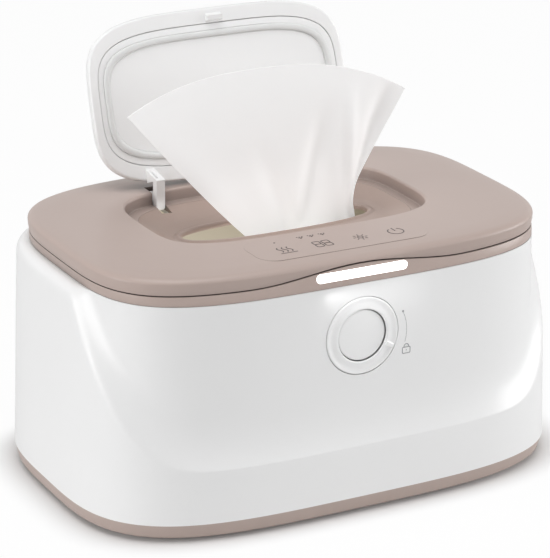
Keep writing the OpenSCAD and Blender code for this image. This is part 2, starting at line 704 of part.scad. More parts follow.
module flip_panel() {
    face = flange_z + 0.2;
    groove = flange_z + 1.6;
    rings = [
        ring(seal_a - seal_w - 4, seal_b - seal_w - 4, face + 0.1, recess_square, flip_y, small_n),
        ring(seal_a - seal_w, seal_b - seal_w, face, recess_square, flip_y, small_n),
        ring(seal_a - seal_w, seal_b - seal_w, groove, recess_square, flip_y, small_n),
        ring(seal_a, seal_b, groove, recess_square, flip_y, small_n),
        ring(seal_a, seal_b, face, recess_square, flip_y, small_n),
        ring(step_a - 0.2, step_b - 0.2, face, recess_square, flip_y, small_n),
        ring(step_a - 0.3, step_b - 0.3, lid_top - 2.2, recess_square, flip_y, small_n)
    ];
    color(white) opened() loft(rings);
}

module flip_seal() {
    low = flange_z - 1.1;
    groove = flange_z + 1.6;
    rings = [
        ring(seal_a, seal_b, groove, recess_square, flip_y, small_n),
        ring(seal_a - seal_w, seal_b - seal_w, groove, recess_square, flip_y, small_n),
        ring(seal_a - seal_w, seal_b - seal_w, low + 0.6, recess_square, flip_y, small_n),
        ring(seal_a - seal_w + 0.9, seal_b - seal_w + 0.9, low, recess_square, flip_y, small_n),
        ring(seal_a - 0.9, seal_b - 0.9, low, recess_square, flip_y, small_n),
        ring(seal_a, seal_b, low + 0.6, recess_square, flip_y, small_n)
    ];
    color("#F4F4F2") opened() loft(rings, loop = true);
}

// Gooseneck arm in the open place: hub, post up through the slot, knee and foot on the lid
module flip_arms() {
    y = flip_pivot[1];
    z = flip_pivot[2];
    post_front = y - 10;
    post_back = y - 6;
    // Where the arm's foot lies on the flange when the lid is closed
    foot_front = flip_y + step_b - 0.6;
    foot_back = foot_front + 6.6;
    side = [
        [y, z - flip_hub_r], [y - 4, z - 4.4], [post_front + 1.2, z - 4.4], [post_front, z - 3], [post_front, z + 11],
        opened_at(foot_front, flange_z + 0.1), opened_at(foot_back, flange_z + 0.1), [post_back, z + 9.2],
        [post_back, z - 0.6], [y - 1.2, z + flip_hub_r - 0.3]
    ];
    color(white) both_sides() difference() {
        union() {
            translate([arm_x - arm_w / 2, 0, 0]) rotate([90, 0, 90]) linear_extrude(arm_w) polygon(side);
            along_x(y, z, arm_x - arm_w / 2, arm_x + arm_w / 2, flip_hub_r);
        }
        along_x(y, z, arm_x - arm_w, arm_x + arm_w, flip_pin_r + fit);
        translate([arm_x + 0.2, 0, 0]) rotate([90, 0, 90]) linear_extrude(0.9)
            polygon([[post_front + 1.2, z + 13], [y - 0.5, z + 15], [y - 0.5, z + 11.4], [post_front + 3.4, z + 9.6]]);
    }
}

module flip_hook() {
    y = recess_y - ledge_b;
    color(white) opened() translate([-4, 0, 0]) rotate([90, 0, 90]) linear_extrude(8)
        polygon([[y - 2.4, flange_z], [y - 0.6, flange_z - 2.2], [y - 1.2, flange_z - 2.7], [y + 0.9, flange_z - 2.3],
            [y + 1.6, flange_z]]);
}

// Raised wipe: a thin sheet that fans out from the slot, with soft folds that run up from it
wipe_t = 0.8;
wipe_u = 30;
wipe_v = 18;
wipe_foot = 101;
wipe_y = 5;

// Side edges of the sheet at the share v of its height
function wipe_left(v) = -8 - 67 * wipe_w / 143 * pow(v, 0.9);
function wipe_right(v) = 42 + 26 * wipe_w / 143 * pow(max(0, (v - 0.2) / 0.8), 1.15);
// Top edge above x
function wipe_crest(x) = wipe_top - (x < 0 ? 14.7 * pow(-x / 75, 2.8) : 19 * pow(x / 68, 2.1));
// Smooth ridge of unit height along a line at x = middle that fades out from z = low to z = high
function fold(x, z, middle, width, low, high) =
    exp(-pow((x - middle) / width, 2)) * (1 - ease((z - low) / (high - low)));

function wipe_mid(u, v) =
    let (
        x = mix(wipe_left(v), wipe_right(v), u),
        z = mix(wipe_foot, wipe_crest(mix(-75, 68, u)), v),
        up = z - 115
    )
    [
        x,
        wipe_y + 1.2 * sin(298 * u + 34) * v
            + 3.2 * fold(x, z, 16.4 + 0.16 * up, 5.5, 135, 176)
            + 2.2 * fold(x, z, 4.7 - 0.38 * up, 5.5, 118, 158)
            - 1.3 * fold(x, z, 30.5, 6, 125, 165)
            + 5.6 * fold(x, z, 43.5 + 0.3 * (up - 6), 4.2 + 0.05 * (up - 6), 150, 184) * ease((z - 104) / 22)
            - 1.8 * fold(x, z, 38.5, 3.2, 150, 182)
            - 1.2 * fold(x, z, -20 - 0.8 * up, 9, 120, 170),
        z
    ];

module wipe() {
    n = wipe_u + 1;
    m = wipe_v + 1;
    function at(side, i, j) = side * n * m + j * n + i;
    points = [
        for (side = [0, 1], j = [0 : wipe_v], i = [0 : wipe_u])
            wipe_mid(i / wipe_u, j / wipe_v) + [0, side * wipe_t, 0]
    ];
    front = [
        for (j = [0 : wipe_v - 1], i = [0 : wipe_u - 1])
            each [[at(0, i, j), at(0, i, j + 1), at(0, i + 1, j + 1)], [at(0, i, j), at(0, i + 1, j + 1), at(0, i + 1, j)]]
    ];
    back = [
        for (j = [0 : wipe_v - 1], i = [0 : wipe_u - 1])
            each [[at(1, i, j), at(1, i + 1, j + 1), at(1, i, j + 1)], [at(1, i, j), at(1, i + 1, j), at(1, i + 1, j + 1)]]
    ];
    edges = [
        for (i = [0 : wipe_u - 1]) each [
            [at(0, i, 0), at(0, i + 1, 0), at(1, i + 1, 0)], [at(0, i, 0), at(1, i + 1, 0), at(1, i, 0)],
            [at(0, i, wipe_v), at(1, i + 1, wipe_v), at(0, i + 1, wipe_v)], [at(0, i, wipe_v), at(1, i, wipe_v), at(1, i + 1, wipe_v)]
        ],
        for (j = [0 : wipe_v - 1]) each [
            [at(0, 0, j), at(1, 0, j), at(1, 0, j + 1)], [at(0, 0, j), at(1, 0, j + 1), at(0, 0, j + 1)],
            [at(0, wipe_u, j), at(1, wipe_u, j + 1), at(1, wipe_u, j)], [at(0, wipe_u, j), at(0, wipe_u, j + 1), at(1, wipe_u, j + 1)]
        ]
    ];
    color("#FFFFFF") polyhedron(points, concat(front, back, edges), convexity = 6);
}

outer_housing();
base_tray();
rubber_feet();
base_screws();
trim_ring();
light_bar_lens();
light_board();
inner_tub();
heating_plate();
insulation_pad();
temperature_sensor();
thermal_fuse();
control_board();
power_socket();
lid_hinge_pins();
dial_ring();
lock_cam();
open_button();
latch_slide();
button_spring();
lid_cover();
lid_liner();
lid_gasket();
dispenser_insert();
touch_panel();
touch_board();
lid_screws();
lid_catch();
flip_hinge_pins();
wipe();
flip_cover();
flip_panel();
flip_seal();
flip_arms();
flip_hook();
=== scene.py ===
"""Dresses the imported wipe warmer: fine shells, finishes, printed marks, the raised wipe and the studio."""

from __future__ import annotations

import logging
import math
from dataclasses import dataclass
from enum import Enum
from typing import Callable, Iterable, Sequence

import bmesh
import bpy
from mathutils import Matrix, Vector

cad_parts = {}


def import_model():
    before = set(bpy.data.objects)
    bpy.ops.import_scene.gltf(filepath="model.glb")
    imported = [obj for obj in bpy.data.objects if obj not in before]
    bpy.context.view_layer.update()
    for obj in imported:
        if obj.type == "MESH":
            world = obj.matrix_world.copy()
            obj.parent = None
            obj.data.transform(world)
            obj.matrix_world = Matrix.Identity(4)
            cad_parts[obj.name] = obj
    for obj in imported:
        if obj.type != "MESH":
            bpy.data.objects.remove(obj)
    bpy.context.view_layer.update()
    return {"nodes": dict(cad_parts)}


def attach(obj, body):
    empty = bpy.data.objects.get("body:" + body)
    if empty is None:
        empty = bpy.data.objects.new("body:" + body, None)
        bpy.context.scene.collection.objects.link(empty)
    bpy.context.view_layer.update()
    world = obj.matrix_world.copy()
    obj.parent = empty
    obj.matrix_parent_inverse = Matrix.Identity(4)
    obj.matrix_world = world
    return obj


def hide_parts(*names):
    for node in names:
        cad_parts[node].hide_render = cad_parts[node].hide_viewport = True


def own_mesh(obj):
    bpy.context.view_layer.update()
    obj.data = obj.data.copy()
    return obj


LOG = logging.getLogger("warmer")
MM = 0.001
Colour = tuple[float, float, float]
Point = tuple[float, float, float]
Stroke = Sequence[tuple[float, float]]
Ring = list[Vector]
Obj = bpy.types.Object
Tree = bpy.types.NodeTree
Socket = bpy.types.NodeSocket
# Points closer than this are merged: in millimetres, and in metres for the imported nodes
MERGE_DIST = 1e-4
PACKED_MERGE_DIST = 2e-6
# Edges sharper than this angle in degrees are rounded
ROUNDED_ANGLE = 38.0
# Reach in millimetres of the painted shade: ambient occlusion within it darkens the colour of corners and recesses
PAINTED_SHADE_REACH = 8
SOCKET_KINDS = {"Vector": "NodeSocketVector", "Color": "NodeSocketColor"}


class Body(Enum):
    """The moving bodies of the warmer."""

    HOUSING = "housing"
    DIAL = "lock_dial"
    BUTTON = "button"
    LID = "main_lid"
    FLIP = "flip_lid"


class Ends(Enum):
    """How a stack of rings is closed."""

    CAPPED = "capped"
    LOOPED = "looped"


# Sizes


@dataclass(frozen=True)
class Layout:
    """Sizes that several sub-assemblies share, in millimetres; _a is a half width and _b a half depth."""

    foot_a: float = 121.65
    foot_b: float = 83.5
    body_top: float = 109.1
    ring_a: float = 111.8
    ring_b: float = 77.1
    body_square: float = 3.6
    ring_square: float = 3.8
    crease_z: float = 33.4
    crease_drop: float = 22.0
    wall: float = 2.4
    base_top: float = 9.0
    seam_z: float = 113.9
    lid_top: float = 122.0
    arch_h: float = 4.5
    arch_half: float = 55.0
    recess_a: float = 68.25
    recess_b: float = 40.85
    recess_y: float = 5.65
    recess_square: float = 4.0
    ledge_z: float = 116.2
    dial_z: float = 84.4
    front_y: float = -77.45
    arm_x: float = 42.6
    arm_slot_w: float = 5.2
    arm_slot_front: float = 33.85
    flip_swing: float = 105.9
    pivot_y: float = 50.4
    pivot_z: float = 118.2
    hinge_y: float = 79.9
    hinge_z: float = 112.5
    hinge_x: float = 50.0
    knuckle_r: float = 2.9

    @property
    def flange_z(self) -> float:
        """Height of the closed flip lid's underside."""
        return self.ledge_z + 0.3

    def arch(self, x: float, y: float) -> float:
        """Rise of the lid's seam above its level part, for a point of the outline."""
        if y > 0 or abs(x) > self.arch_half:
            return 0.0
        return self.arch_h * (1 + math.cos(math.pi * x / self.arch_half)) / 2


SIZES = Layout()


def mix(a: float, b: float, k: float) -> float:
    """The value a share k of the way from a to b."""
    return a + (b - a) * k


def ease(k: float) -> float:
    """A smooth step from 0 to 1."""
    c = max(0.0, min(1.0, k))
    return c * c * (3 - 2 * c)


def reach(n: float, t: float) -> float:
    """Reach of a unit superellipse of squareness n in the direction t."""
    return (abs(math.cos(t)) ** n + abs(math.sin(t)) ** n) ** (-1 / n)


def ring(a: float, b: float, z: float, n: float, cy: float = 0.0, count: int = 288, lift: bool = False) -> Ring:
    """Points round a superellipse.

    Args:
        a: Half width.
        b: Half depth.
        z: Height.
        n: Squareness.
        cy: Depth of the centre.
        count: Number of points.
        lift: Whether the ring follows the arch of the seam.

    Returns:
        The points, in millimetres.
    """
    points = []
    for i in range(count):
        t = 2 * math.pi * i / count
        r = reach(n, t)
        x, y = a * r * math.cos(t), b * r * math.sin(t) + cy
        points.append(Vector((x, y, z + (SIZES.arch(x, y) if lift else 0.0))))
    return points


# Mesh work


def linked(name: str, data: bpy.types.ID) -> Obj:
    """A new object in the scene."""
    obj = bpy.data.objects.new(name, data)
    bpy.context.scene.collection.objects.link(obj)
    return obj


def object_from(bm: bmesh.types.BMesh, name: str) -> Obj:
    """Makes an object of a bmesh whose points are in millimetres.

    Args:
        bm: The mesh, which is freed.
        name: Name of the object.

    Returns:
        The object, at the origin, in metres.
    """
    bmesh.ops.scale(bm, vec=(MM, MM, MM), verts=bm.verts)
    mesh = bpy.data.meshes.new(name)
    bm.to_mesh(mesh)
    bm.free()
    return linked(name, mesh)


def evaluated_mesh(obj: Obj) -> bpy.types.Mesh:
    """The mesh of an object with its modifiers or its curve worked out."""
    bpy.context.view_layer.update()
    mesh = bpy.data.meshes.new_from_object(obj.evaluated_get(bpy.context.evaluated_depsgraph_get()))
    mesh.name = obj.name
    return mesh


def apply_modifiers(obj: Obj) -> Obj:
    """Turns an object's modifiers into its mesh."""
    mesh = evaluated_mesh(obj)
    obj.modifiers.clear()
    obj.data = mesh
    return obj


def loft(name: str, rings: Sequence[Ring], ends: Ends) -> Obj:
    """Skins a stack of rings by extruding the first one from ring to ring.

    Args:
        name: Name of the object.
        rings: Rings with equally many points.
        ends: Whether the stack is capped or joined into a loop.

    Returns:
        The object.
    """
    bm = bmesh.new()
    verts = list(bmesh.ops.create_circle(bm, segments=len(rings[0]), radius=1.0)["verts"])
    edges = bm.edges[:]
    for vert, point in zip(verts, rings[0]):
        vert.co = point
    first = list(edges)
    following = list(rings[1:]) + ([rings[0]] if ends is Ends.LOOPED else [])
    for points in following:
        made = bmesh.ops.extrude_edge_only(bm, edges=edges)["geom"]
        fresh = {g for g in made if isinstance(g, bmesh.types.BMVert)}
        verts = [next(e.other_vert(v) for e in v.link_edges if e.other_vert(v) in fresh) for v in verts]
        edges = [g for g in made if isinstance(g, bmesh.types.BMEdge) and g.verts[0] in fresh and g.verts[1] in fresh]
        for vert, point in zip(verts, points):
            vert.co = point
    if ends is Ends.LOOPED:
        bmesh.ops.remove_doubles(bm, verts=bm.verts, dist=MERGE_DIST)
    else:
        bmesh.ops.edgeloop_fill(bm, edges=first)
        bmesh.ops.edgeloop_fill(bm, edges=edges)
    bmesh.ops.recalc_face_normals(bm, faces=bm.faces)
    return object_from(bm, name)


def turned(name: str, profile: Sequence[tuple[float, float]], steps: int) -> Obj:
    """Spins a profile about the dial's axis.

    Args:
        name: Name of the object.
        profile: Radius and distance behind the housing's front, going round the section.
        steps: Number of steps of the spin.

    Returns:
        The object.
    """
    bm = bmesh.new()
    on_axis = profile[0][0] == 0
    verts = [bm.verts.new((r, SIZES.front_y + d, SIZES.dial_z)) for r, d in profile]
    pairs = list(zip(verts, verts[1:])) + ([] if on_axis else [(verts[-1], verts[0])])
    edges = [bm.edges.new(pair) for pair in pairs]
    about = {"cent": (0, 0, SIZES.dial_z), "axis": (0, 1, 0), "angle": 2 * math.pi}
    bmesh.ops.spin(bm, geom=verts + edges, steps=steps, use_merge=True, **about)
    bmesh.ops.remove_doubles(bm, verts=bm.verts, dist=MERGE_DIST)
    bmesh.ops.recalc_face_normals(bm, faces=bm.faces)
    return object_from(bm, name)


def block(low: Sequence[float], high: Sequence[float], turn: Matrix | None = None) -> Obj:
    """A box between two corners, used to cut or to be joined.

    Args:
        low: Lowest corner.
        high: Highest corner.
        turn: A transform in millimetres, or None.

    Returns:
        The object.
    """
    bm = bmesh.new()
    middle = [(a + b) / 2 for a, b in zip(low, high)]
    size = [b - a for a, b in zip(low, high)]
    place = Matrix.Translation(middle) @ Matrix.Diagonal((*size, 1))
    bmesh.ops.create_cube(bm, size=1, matrix=(turn @ place) if turn else place)
    return object_from(bm, "block")


def rod(start: Sequence[float], end: Sequence[float], radius: float, segments: int) -> Obj:
    """A round bar between two points, used to cut or to be joined."""
    a, b = Vector(start), Vector(end)
    bm = bmesh.new()
    place = Matrix.Translation((a + b) / 2) @ (b - a).to_track_quat("Z", "Y").to_matrix().to_4x4()
    bmesh.ops.create_cone(
        bm, cap_ends=True, segments=segments, radius1=radius, radius2=radius, depth=(b - a).length, matrix=place
    )
    return object_from(bm, "rod")


def cut(obj: Obj, cutters: Iterable[Obj]) -> Obj:
    """Takes solids out of an object, and removes them."""
    cutters = list(cutters)
    for cutter in cutters:
        boolean = obj.modifiers.new("Cut", "BOOLEAN")
        boolean.operation = "DIFFERENCE"
        boolean.solver = "EXACT"
        boolean.object = cutter
    apply_modifiers(obj)
    for cutter in cutters:
        bpy.data.objects.remove(cutter)
    return obj


def join(obj: Obj, others: Iterable[Obj]) -> Obj:
    """Adds the meshes of other objects to an object, and removes them."""
    bm = bmesh.new()
    bm.from_mesh(obj.data)
    for other in others:
        bm.from_mesh(other.data)
        bpy.data.objects.remove(other)
    bm.to_mesh(obj.data)
    bm.free()
    return obj


def round_edges(obj: Obj, width: float) -> Obj:
    """Rounds the sharp edges of an object by a width in millimetres."""
    bevel = obj.modifiers.new("Round", "BEVEL")
    bevel.width = width * MM
    bevel.segments = 2
    bevel.limit_method = "ANGLE"
    bevel.angle_limit = math.radians(ROUNDED_ANGLE)
    bevel.use_clamp_overlap = True
    return apply_modifiers(obj)


def shade(obj: Obj, angle: float = 34.0) -> Obj:
    """Shades an object smooth, sharp over an angle, with normals weighted by the faces' areas."""
    bm = bmesh.new()
    bm.from_mesh(obj.data)
    for face in bm.faces:
        face.smooth = True
    for edge in bm.edges:
        edge.smooth = edge.calc_face_angle(0.0) < math.radians(angle)
    bm.to_mesh(obj.data)
    bm.free()
    weigh = obj.modifiers.new("Weigh", "WEIGHTED_NORMAL")
    weigh.keep_sharp = True
    return apply_modifiers(obj)


def moved(obj: Obj, transform: Matrix) -> Obj:
    """Applies a transform, given in millimetres, to an object's mesh."""
    scale = Matrix.Diagonal((MM, MM, MM, 1))
    obj.data.transform(scale @ transform @ scale.inverted())
    return obj


def softened_copy(node: Obj, name: str, width: float = 0.0) -> Obj:
    """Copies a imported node, merges its loose triangles and shades it smooth.

    Args:
        node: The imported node.
        name: Name of the copy.
        width: Rounding of its sharp edges in millimetres, or 0.

    Returns:
        The copy.
    """
    bm = bmesh.new()
    bm.from_mesh(node.data)
    bmesh.ops.remove_doubles(bm, verts=bm.verts, dist=PACKED_MERGE_DIST)
    bmesh.ops.dissolve_limit(bm, angle_limit=math.radians(0.5), verts=bm.verts, edges=bm.edges)
    bmesh.ops.scale(bm, vec=(1 / MM, 1 / MM, 1 / MM), verts=bm.verts)
    obj = object_from(bm, name)
    if width:
        round_edges(obj, width)
    return shade(obj)


# Finishes


def feed(tree: Tree, node: bpy.types.Node, inputs: dict[str | int, object]) -> None:
    """Gives inputs of a node values or links, by name or number."""
    for key, value in inputs.items():
        if isinstance(value, Socket):
            tree.links.new(value, node.inputs[key])
        else:
            node.inputs[key].default_value = value


def add_node(tree: Tree, kind: str, inputs: dict[str | int, object]) -> bpy.types.Node:
    """Adds a shader node and feeds its inputs."""
    node = tree.nodes.new(kind)
    feed(tree, node, inputs)
    return node


def new_group(name: str, inputs: dict[str, object], outputs: Sequence[str]) -> Tree:
    """Starts a shader node group that reads a texture vector.

    Args:
        name: Name of the group.
        inputs: Default value of each input after the vector.
        outputs: Names of the outputs.

    Returns:
        The group, with its input and output nodes.
    """
    group = bpy.data.node_groups.new(name, "ShaderNodeTree")
    for direction, labels in (("INPUT", ("Vector", *inputs)), ("OUTPUT", outputs)):
        for label in labels:
            kind = SOCKET_KINDS.get(label, "NodeSocketFloat")
            socket = group.interface.new_socket(label, in_out=direction, socket_type=kind)
            if direction == "INPUT" and label in inputs:
                socket.default_value = inputs[label]
    group.nodes.new("NodeGroupInput").name = "In"
    group.nodes.new("NodeGroupOutput").name = "Out"
    return group


def math_node(tree: Tree, operation: str, first: object, second: object) -> Socket:
    """A math node of two values or sockets, and its output."""
    node = tree.nodes.new("ShaderNodeMath")
    node.operation = operation
    feed(tree, node, {0: first, 1: second})
    return node.outputs[0]


def noise(tree: Tree, vector: Socket, scale: object, detail: float) -> Socket:
    """A noise texture on a vector, and its value."""
    texture = {"Vector": vector, "Scale": scale, "Detail": detail}
    return add_node(tree, "ShaderNodeTexNoise", texture).outputs["Fac"]


def tinted(tree: Tree, colour: Socket, value: Socket) -> Socket:
    """A colour multiplied by a value."""
    node = tree.nodes.new("ShaderNodeMix")
    node.data_type = "RGBA"
    node.blend_type = "MULTIPLY"
    feed(tree, node, {"Factor": 1.0, "A": colour, "B": value})
    return node.outputs["Result"]


def moulded_surface_group() -> Tree:
    """Group for moulded plastic: fine grain, flow clouds in the colour, painted shade in corners and recesses, and
    rubbed patches.
    """
    known = bpy.data.node_groups.get("moulded_surface")
    if known:
        return known
    defaults = {
        "Color": (0.8, 0.8, 0.8, 1), "Drift": 0.02, "Roughness": 0.4, "Rubbed": 0.06, "Grain Scale": 2500.0,
        "Painted Shade": 0.0,
    }
    group = new_group("moulded_surface", defaults, ("Color", "Roughness", "Height"))
    inside, out = group.nodes["In"], group.nodes["Out"]
    clouds = math_node(group, "SUBTRACT", noise(group, inside.outputs["Vector"], scale=14.0, detail=3.0), 0.5)
    drift = math_node(group, "ADD", math_node(group, "MULTIPLY", clouds, inside.outputs["Drift"]), 1.0)
    # painted shade: ambient occlusion darkens the colour in corners and recesses, where shade falls
    openness = add_node(group, "ShaderNodeAmbientOcclusion", {"Distance": PAINTED_SHADE_REACH * MM})
    openness.samples = 6
    closed = math_node(group, "SUBTRACT", 1.0, openness.outputs["AO"])
    painted_shade = math_node(group, "SUBTRACT", 1.0, math_node(group, "MULTIPLY", closed, inside.outputs["Painted Shade"]))
    colour = tinted(group, inside.outputs["Color"], math_node(group, "MULTIPLY", drift, painted_shade))
    patches = math_node(group, "SUBTRACT", noise(group, inside.outputs["Vector"], scale=45.0, detail=5.0), 0.5)
    rubbed = math_node(group, "MULTIPLY", patches, inside.outputs["Rubbed"])
    roughness = math_node(group, "ADD", inside.outputs["Roughness"], rubbed)
    grain = noise(group, inside.outputs["Vector"], scale=inside.outputs["Grain Scale"], detail=2.0)
    feed(group, out, {"Color": colour, "Roughness": roughness, "Height": grain})
    return group


def fibre_group() -> Tree:
    """Group for nonwoven cloth: crossed fibres, thin places and soft pressed dots."""
    group = new_group("laid_fibres", {"Color": (0.9, 0.9, 0.9, 1), "Thin": 0.05}, ("Color", "Height"))
    inside, out = group.nodes["In"], group.nodes["Out"]
    strands = []
    for turn in (0.35, -0.5):
        stretch = {"Vector": inside.outputs["Vector"], "Rotation": (0, 0, turn), "Scale": (1.0, 9.0, 1.0)}
        mapping = add_node(group, "ShaderNodeMapping", stretch)
        strands.append(noise(group, mapping.outputs["Vector"], scale=60.0, detail=4.0))
    fibres = math_node(group, "ADD", *strands)
    spots = {"Vector": inside.outputs["Vector"], "Scale": 75.0, "Randomness": 0.15}
    dots = add_node(group, "ShaderNodeTexVoronoi", spots).outputs["Distance"]
    pressed = math_node(group, "MINIMUM", math_node(group, "MULTIPLY", dots, 2.2), 0.6)
    height = math_node(group, "ADD", math_node(group, "MULTIPLY", fibres, 0.5), pressed)
    thin = math_node(group, "MULTIPLY", math_node(group, "SUBTRACT", fibres, 1.0), inside.outputs["Thin"])
    colour = tinted(group, inside.outputs["Color"], math_node(group, "ADD", thin, 1.0))
    feed(group, out, {"Color": colour, "Height": height})
    return group


def finish_material(
    name: str, group: Tree, space: str, settings: dict[str, object], bump: tuple[float, float], own: dict[str, object]
) -> bpy.types.Material:
    """Makes a material of one node group whose height also drives a bump.

    Args:
        name: Name of the material.
        group: The node group; its colour, and its roughness if it has one, feed the shader.
        space: The texture coordinates that the group reads.
        settings: Values of the group's inputs.
        bump: Strength of the bump, and its depth in millimetres.
        own: Values of the shader's own inputs.

    Returns:
        The material.
    """
    material = bpy.data.materials.new(name)
    material.use_nodes = True
    tree = material.node_tree
    place = tree.nodes.new("ShaderNodeTexCoord")
    node = tree.nodes.new("ShaderNodeGroup")
    node.node_tree = group
    feed(tree, node, {"Vector": place.outputs[space], **settings})
    strength, depth = bump
    relief = {"Strength": strength, "Distance": depth * MM, "Height": node.outputs["Height"]}
    normal = add_node(tree, "ShaderNodeBump", relief).outputs["Normal"]
    surface = {"Base Color": node.outputs["Color"], "Normal": normal, **own}
    if "Roughness" in node.outputs.keys():
        surface["Roughness"] = node.outputs["Roughness"]
    feed(tree, tree.nodes["Principled BSDF"], surface)
    return material


@dataclass(frozen=True)
class Moulding:
    """Finish of moulded plastic, rubber, lacquered board or plain metal."""

    name: str
    colour: Colour
    roughness: float = 0.4
    drift: float = 0.03
    rubbed: float = 0.08
    grain: float = 0.4
    depth: float = 0.02
    coat: float = 0.0
    metallic: float = 0.0
    glow: float = 0.0
    # share of painted shade that ambient occlusion puts into corners and recesses
    painted_shade: float = 0.0

    def material(self) -> bpy.types.Material:
        """The material, which is made once."""
        name = self.name + "_finish"
        known = bpy.data.materials.get(name)
        if known:
            return known
        settings = {
            "Color": (*self.colour, 1), "Drift": self.drift, "Roughness": self.roughness, "Rubbed": self.rubbed,
            "Grain Scale": 1000 / self.grain, "Painted Shade": self.painted_shade,
        }
        own = {"Metallic": self.metallic, "Coat Weight": self.coat, "Coat Roughness": 0.12}
        if self.glow:
            own |= {"Emission Color": (1.0, 0.99, 0.97, 1), "Emission Strength": self.glow}
        return finish_material(name, moulded_surface_group(), "Object", settings, (0.5, self.depth), own)


@dataclass(frozen=True)
class Nonwoven:
    """Finish of the damp nonwoven cloth of a wipe, with a faint painted glow that brightens it as if lit through."""

    name: str
    colour: Colour
    depth: float = 0.06

    def material(self) -> bpy.types.Material:
        """Makes the material."""
        # painted light: a faint white glow brightens the whole cloth, its shaded low part too
        own = {
            "Roughness": 0.75, "Sheen Weight": 0.3, "Emission Color": (1.0, 1.0, 1.0, 1), "Emission Strength": 0.16,
            "Subsurface Weight": 0.3, "Subsurface Radius": (0.004, 0.004, 0.004),
        }
        name, settings = self.name + "_finish", {"Color": (*self.colour, 1)}
        return finish_material(name, fibre_group(), "UV", settings, (0.25, self.depth), own)


WHITE_SHELL = Moulding("white_shell", (0.9, 0.9, 0.9), roughness=0.34, drift=0.012, grain=0.35, depth=0.008, coat=0.25)
TAUPE_SHELL = Moulding(
    "taupe_shell", (0.49, 0.39, 0.35), roughness=0.36, drift=0.02, grain=0.45, depth=0.018, painted_shade=0.95
)
TAUPE_BASE = Moulding("taupe_base", (0.48, 0.385, 0.345), roughness=0.39, drift=0.02, grain=0.45, depth=0.018)
# painted shade: a darker, more saturated copy of the taupe, so the sunken funnel looks shaded; it also takes the full
# painted shade of its hollows
SHADED_TAUPE_INSET = Moulding(
    "shaded_taupe_inset", (0.42, 0.315, 0.27), roughness=0.34, drift=0.02, grain=0.45, depth=0.012, painted_shade=1.0
)
WHITE_TRIM = Moulding("white_trim", (0.93, 0.93, 0.93), roughness=0.3, drift=0.01, grain=0.3, depth=0.006, coat=0.3)
CREAM_LINER = Moulding("cream_liner", (0.62, 0.57, 0.46), roughness=0.45, drift=0.03, grain=0.6, depth=0.02)
BLACK_RUBBER = Moulding("black_rubber", (0.03, 0.03, 0.032), roughness=0.75, drift=0.1, grain=0.8, depth=0.05)
SEAL_RUBBER = Moulding("seal_rubber", (0.78, 0.785, 0.78), roughness=0.55, drift=0.02, grain=0.5, depth=0.01)
SCREW_STEEL = Moulding(
    "screw_steel", (0.58, 0.58, 0.6), roughness=0.32, drift=0.05, metallic=1.0, grain=0.2, depth=0.01
)
LIT_LENS = Moulding("lit_lens", (0.95, 0.95, 0.95), roughness=0.3, drift=0.0, glow=1.6)
BOARD = Moulding("board", (0.03, 0.14, 0.07), roughness=0.35, drift=0.08, grain=0.5, depth=0.01, coat=0.3)
HEATER = Moulding("heater", (0.62, 0.62, 0.64), roughness=0.38, drift=0.04, metallic=1.0, grain=0.5, depth=0.02)
INSULATION = Moulding("insulation", (0.6, 0.56, 0.46), roughness=0.95, drift=0.15, grain=1.2, depth=0.3)
BLACK_PLASTIC = Moulding("black_plastic", (0.025, 0.025, 0.028), roughness=0.45, drift=0.05)
FUSE_BODY = Moulding("fuse_body", (0.6, 0.44, 0.18), roughness=0.35, drift=0.04, metallic=1.0)
INNER_PLASTIC = Moulding("inner_plastic", (0.62, 0.61, 0.59), roughness=0.5, drift=0.03)
PRINT_GREY = Moulding("print_grey", (0.12, 0.1, 0.095), roughness=0.55, drift=0.05, grain=0.3, depth=0.004)
PRINT_PALE = Moulding("print_pale", (0.3, 0.3, 0.31), roughness=0.5, drift=0.05, grain=0.3, depth=0.004)
WIPE_CLOTH = Nonwoven("cloth", (0.95, 0.955, 0.96))

NODE_FINISHES: dict[Moulding, tuple[str, ...]] = {
    BLACK_RUBBER: ("rubber_feet",),
    SCREW_STEEL: ("base_screws", "lid_hinge_pins", "button_spring", "lid_screws", "flip_hinge_pins"),
    LIT_LENS: ("light_bar_lens",),
    BOARD: ("light_board", "control_board", "touch_board"),
    HEATER: ("heating_plate",),
    INSULATION: ("insulation_pad",),
    BLACK_PLASTIC: ("temperature_sensor", "power_socket"),
    FUSE_BODY: ("thermal_fuse",),
    INNER_PLASTIC: ("lock_cam", "latch_slide", "lid_liner", "lid_catch"),
    SEAL_RUBBER: ("lid_gasket",),
    TAUPE_SHELL: ("touch_panel",),
    WHITE_TRIM: ("flip_hook",),
}


def dress(obj: Obj, finish: Moulding | Nonwoven) -> Obj:
    """Gives every slot of an object one finish."""
    material = finish.material()
    if not obj.data.materials:
        obj.data.materials.append(material)
    for slot in obj.material_slots:
        slot.material = material
    return obj


def fit_piece(
    obj: Obj, body: Body, finish: Moulding | Nonwoven, replaced: Sequence[str] = ()
) -> Obj:
    """Dresses a finished piece and hands it to the frame.

    Args:
        obj: The piece.
        body: The body that it rides on.
        finish: Its finish.
        replaced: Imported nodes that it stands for.

    Returns:
        The piece.
    """
    dress(obj, finish)
    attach(obj, body.value)
    if replaced:
        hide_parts(*replaced)
    LOG.info("%s rides on %s, %d faces", obj.name, body.value, len(obj.data.polygons))
    return obj


# Housing


def fall_in(k: float) -> float:
    """Share of the step back above the crease: sudden at the crease itself, fading out above it."""
    c = 1 - max(0.0, min(1.0, k))
    return 1 - c * c


def crease_at(y: float) -> float:
    """Height of the crease where the outline is at depth y: level in front, climbing along the sides."""
    climb = 61 + 1.45 * (y + 55)
    return 3 * math.log(math.exp(SIZES.crease_z / 3) + math.exp(min(climb, 300) / 3))


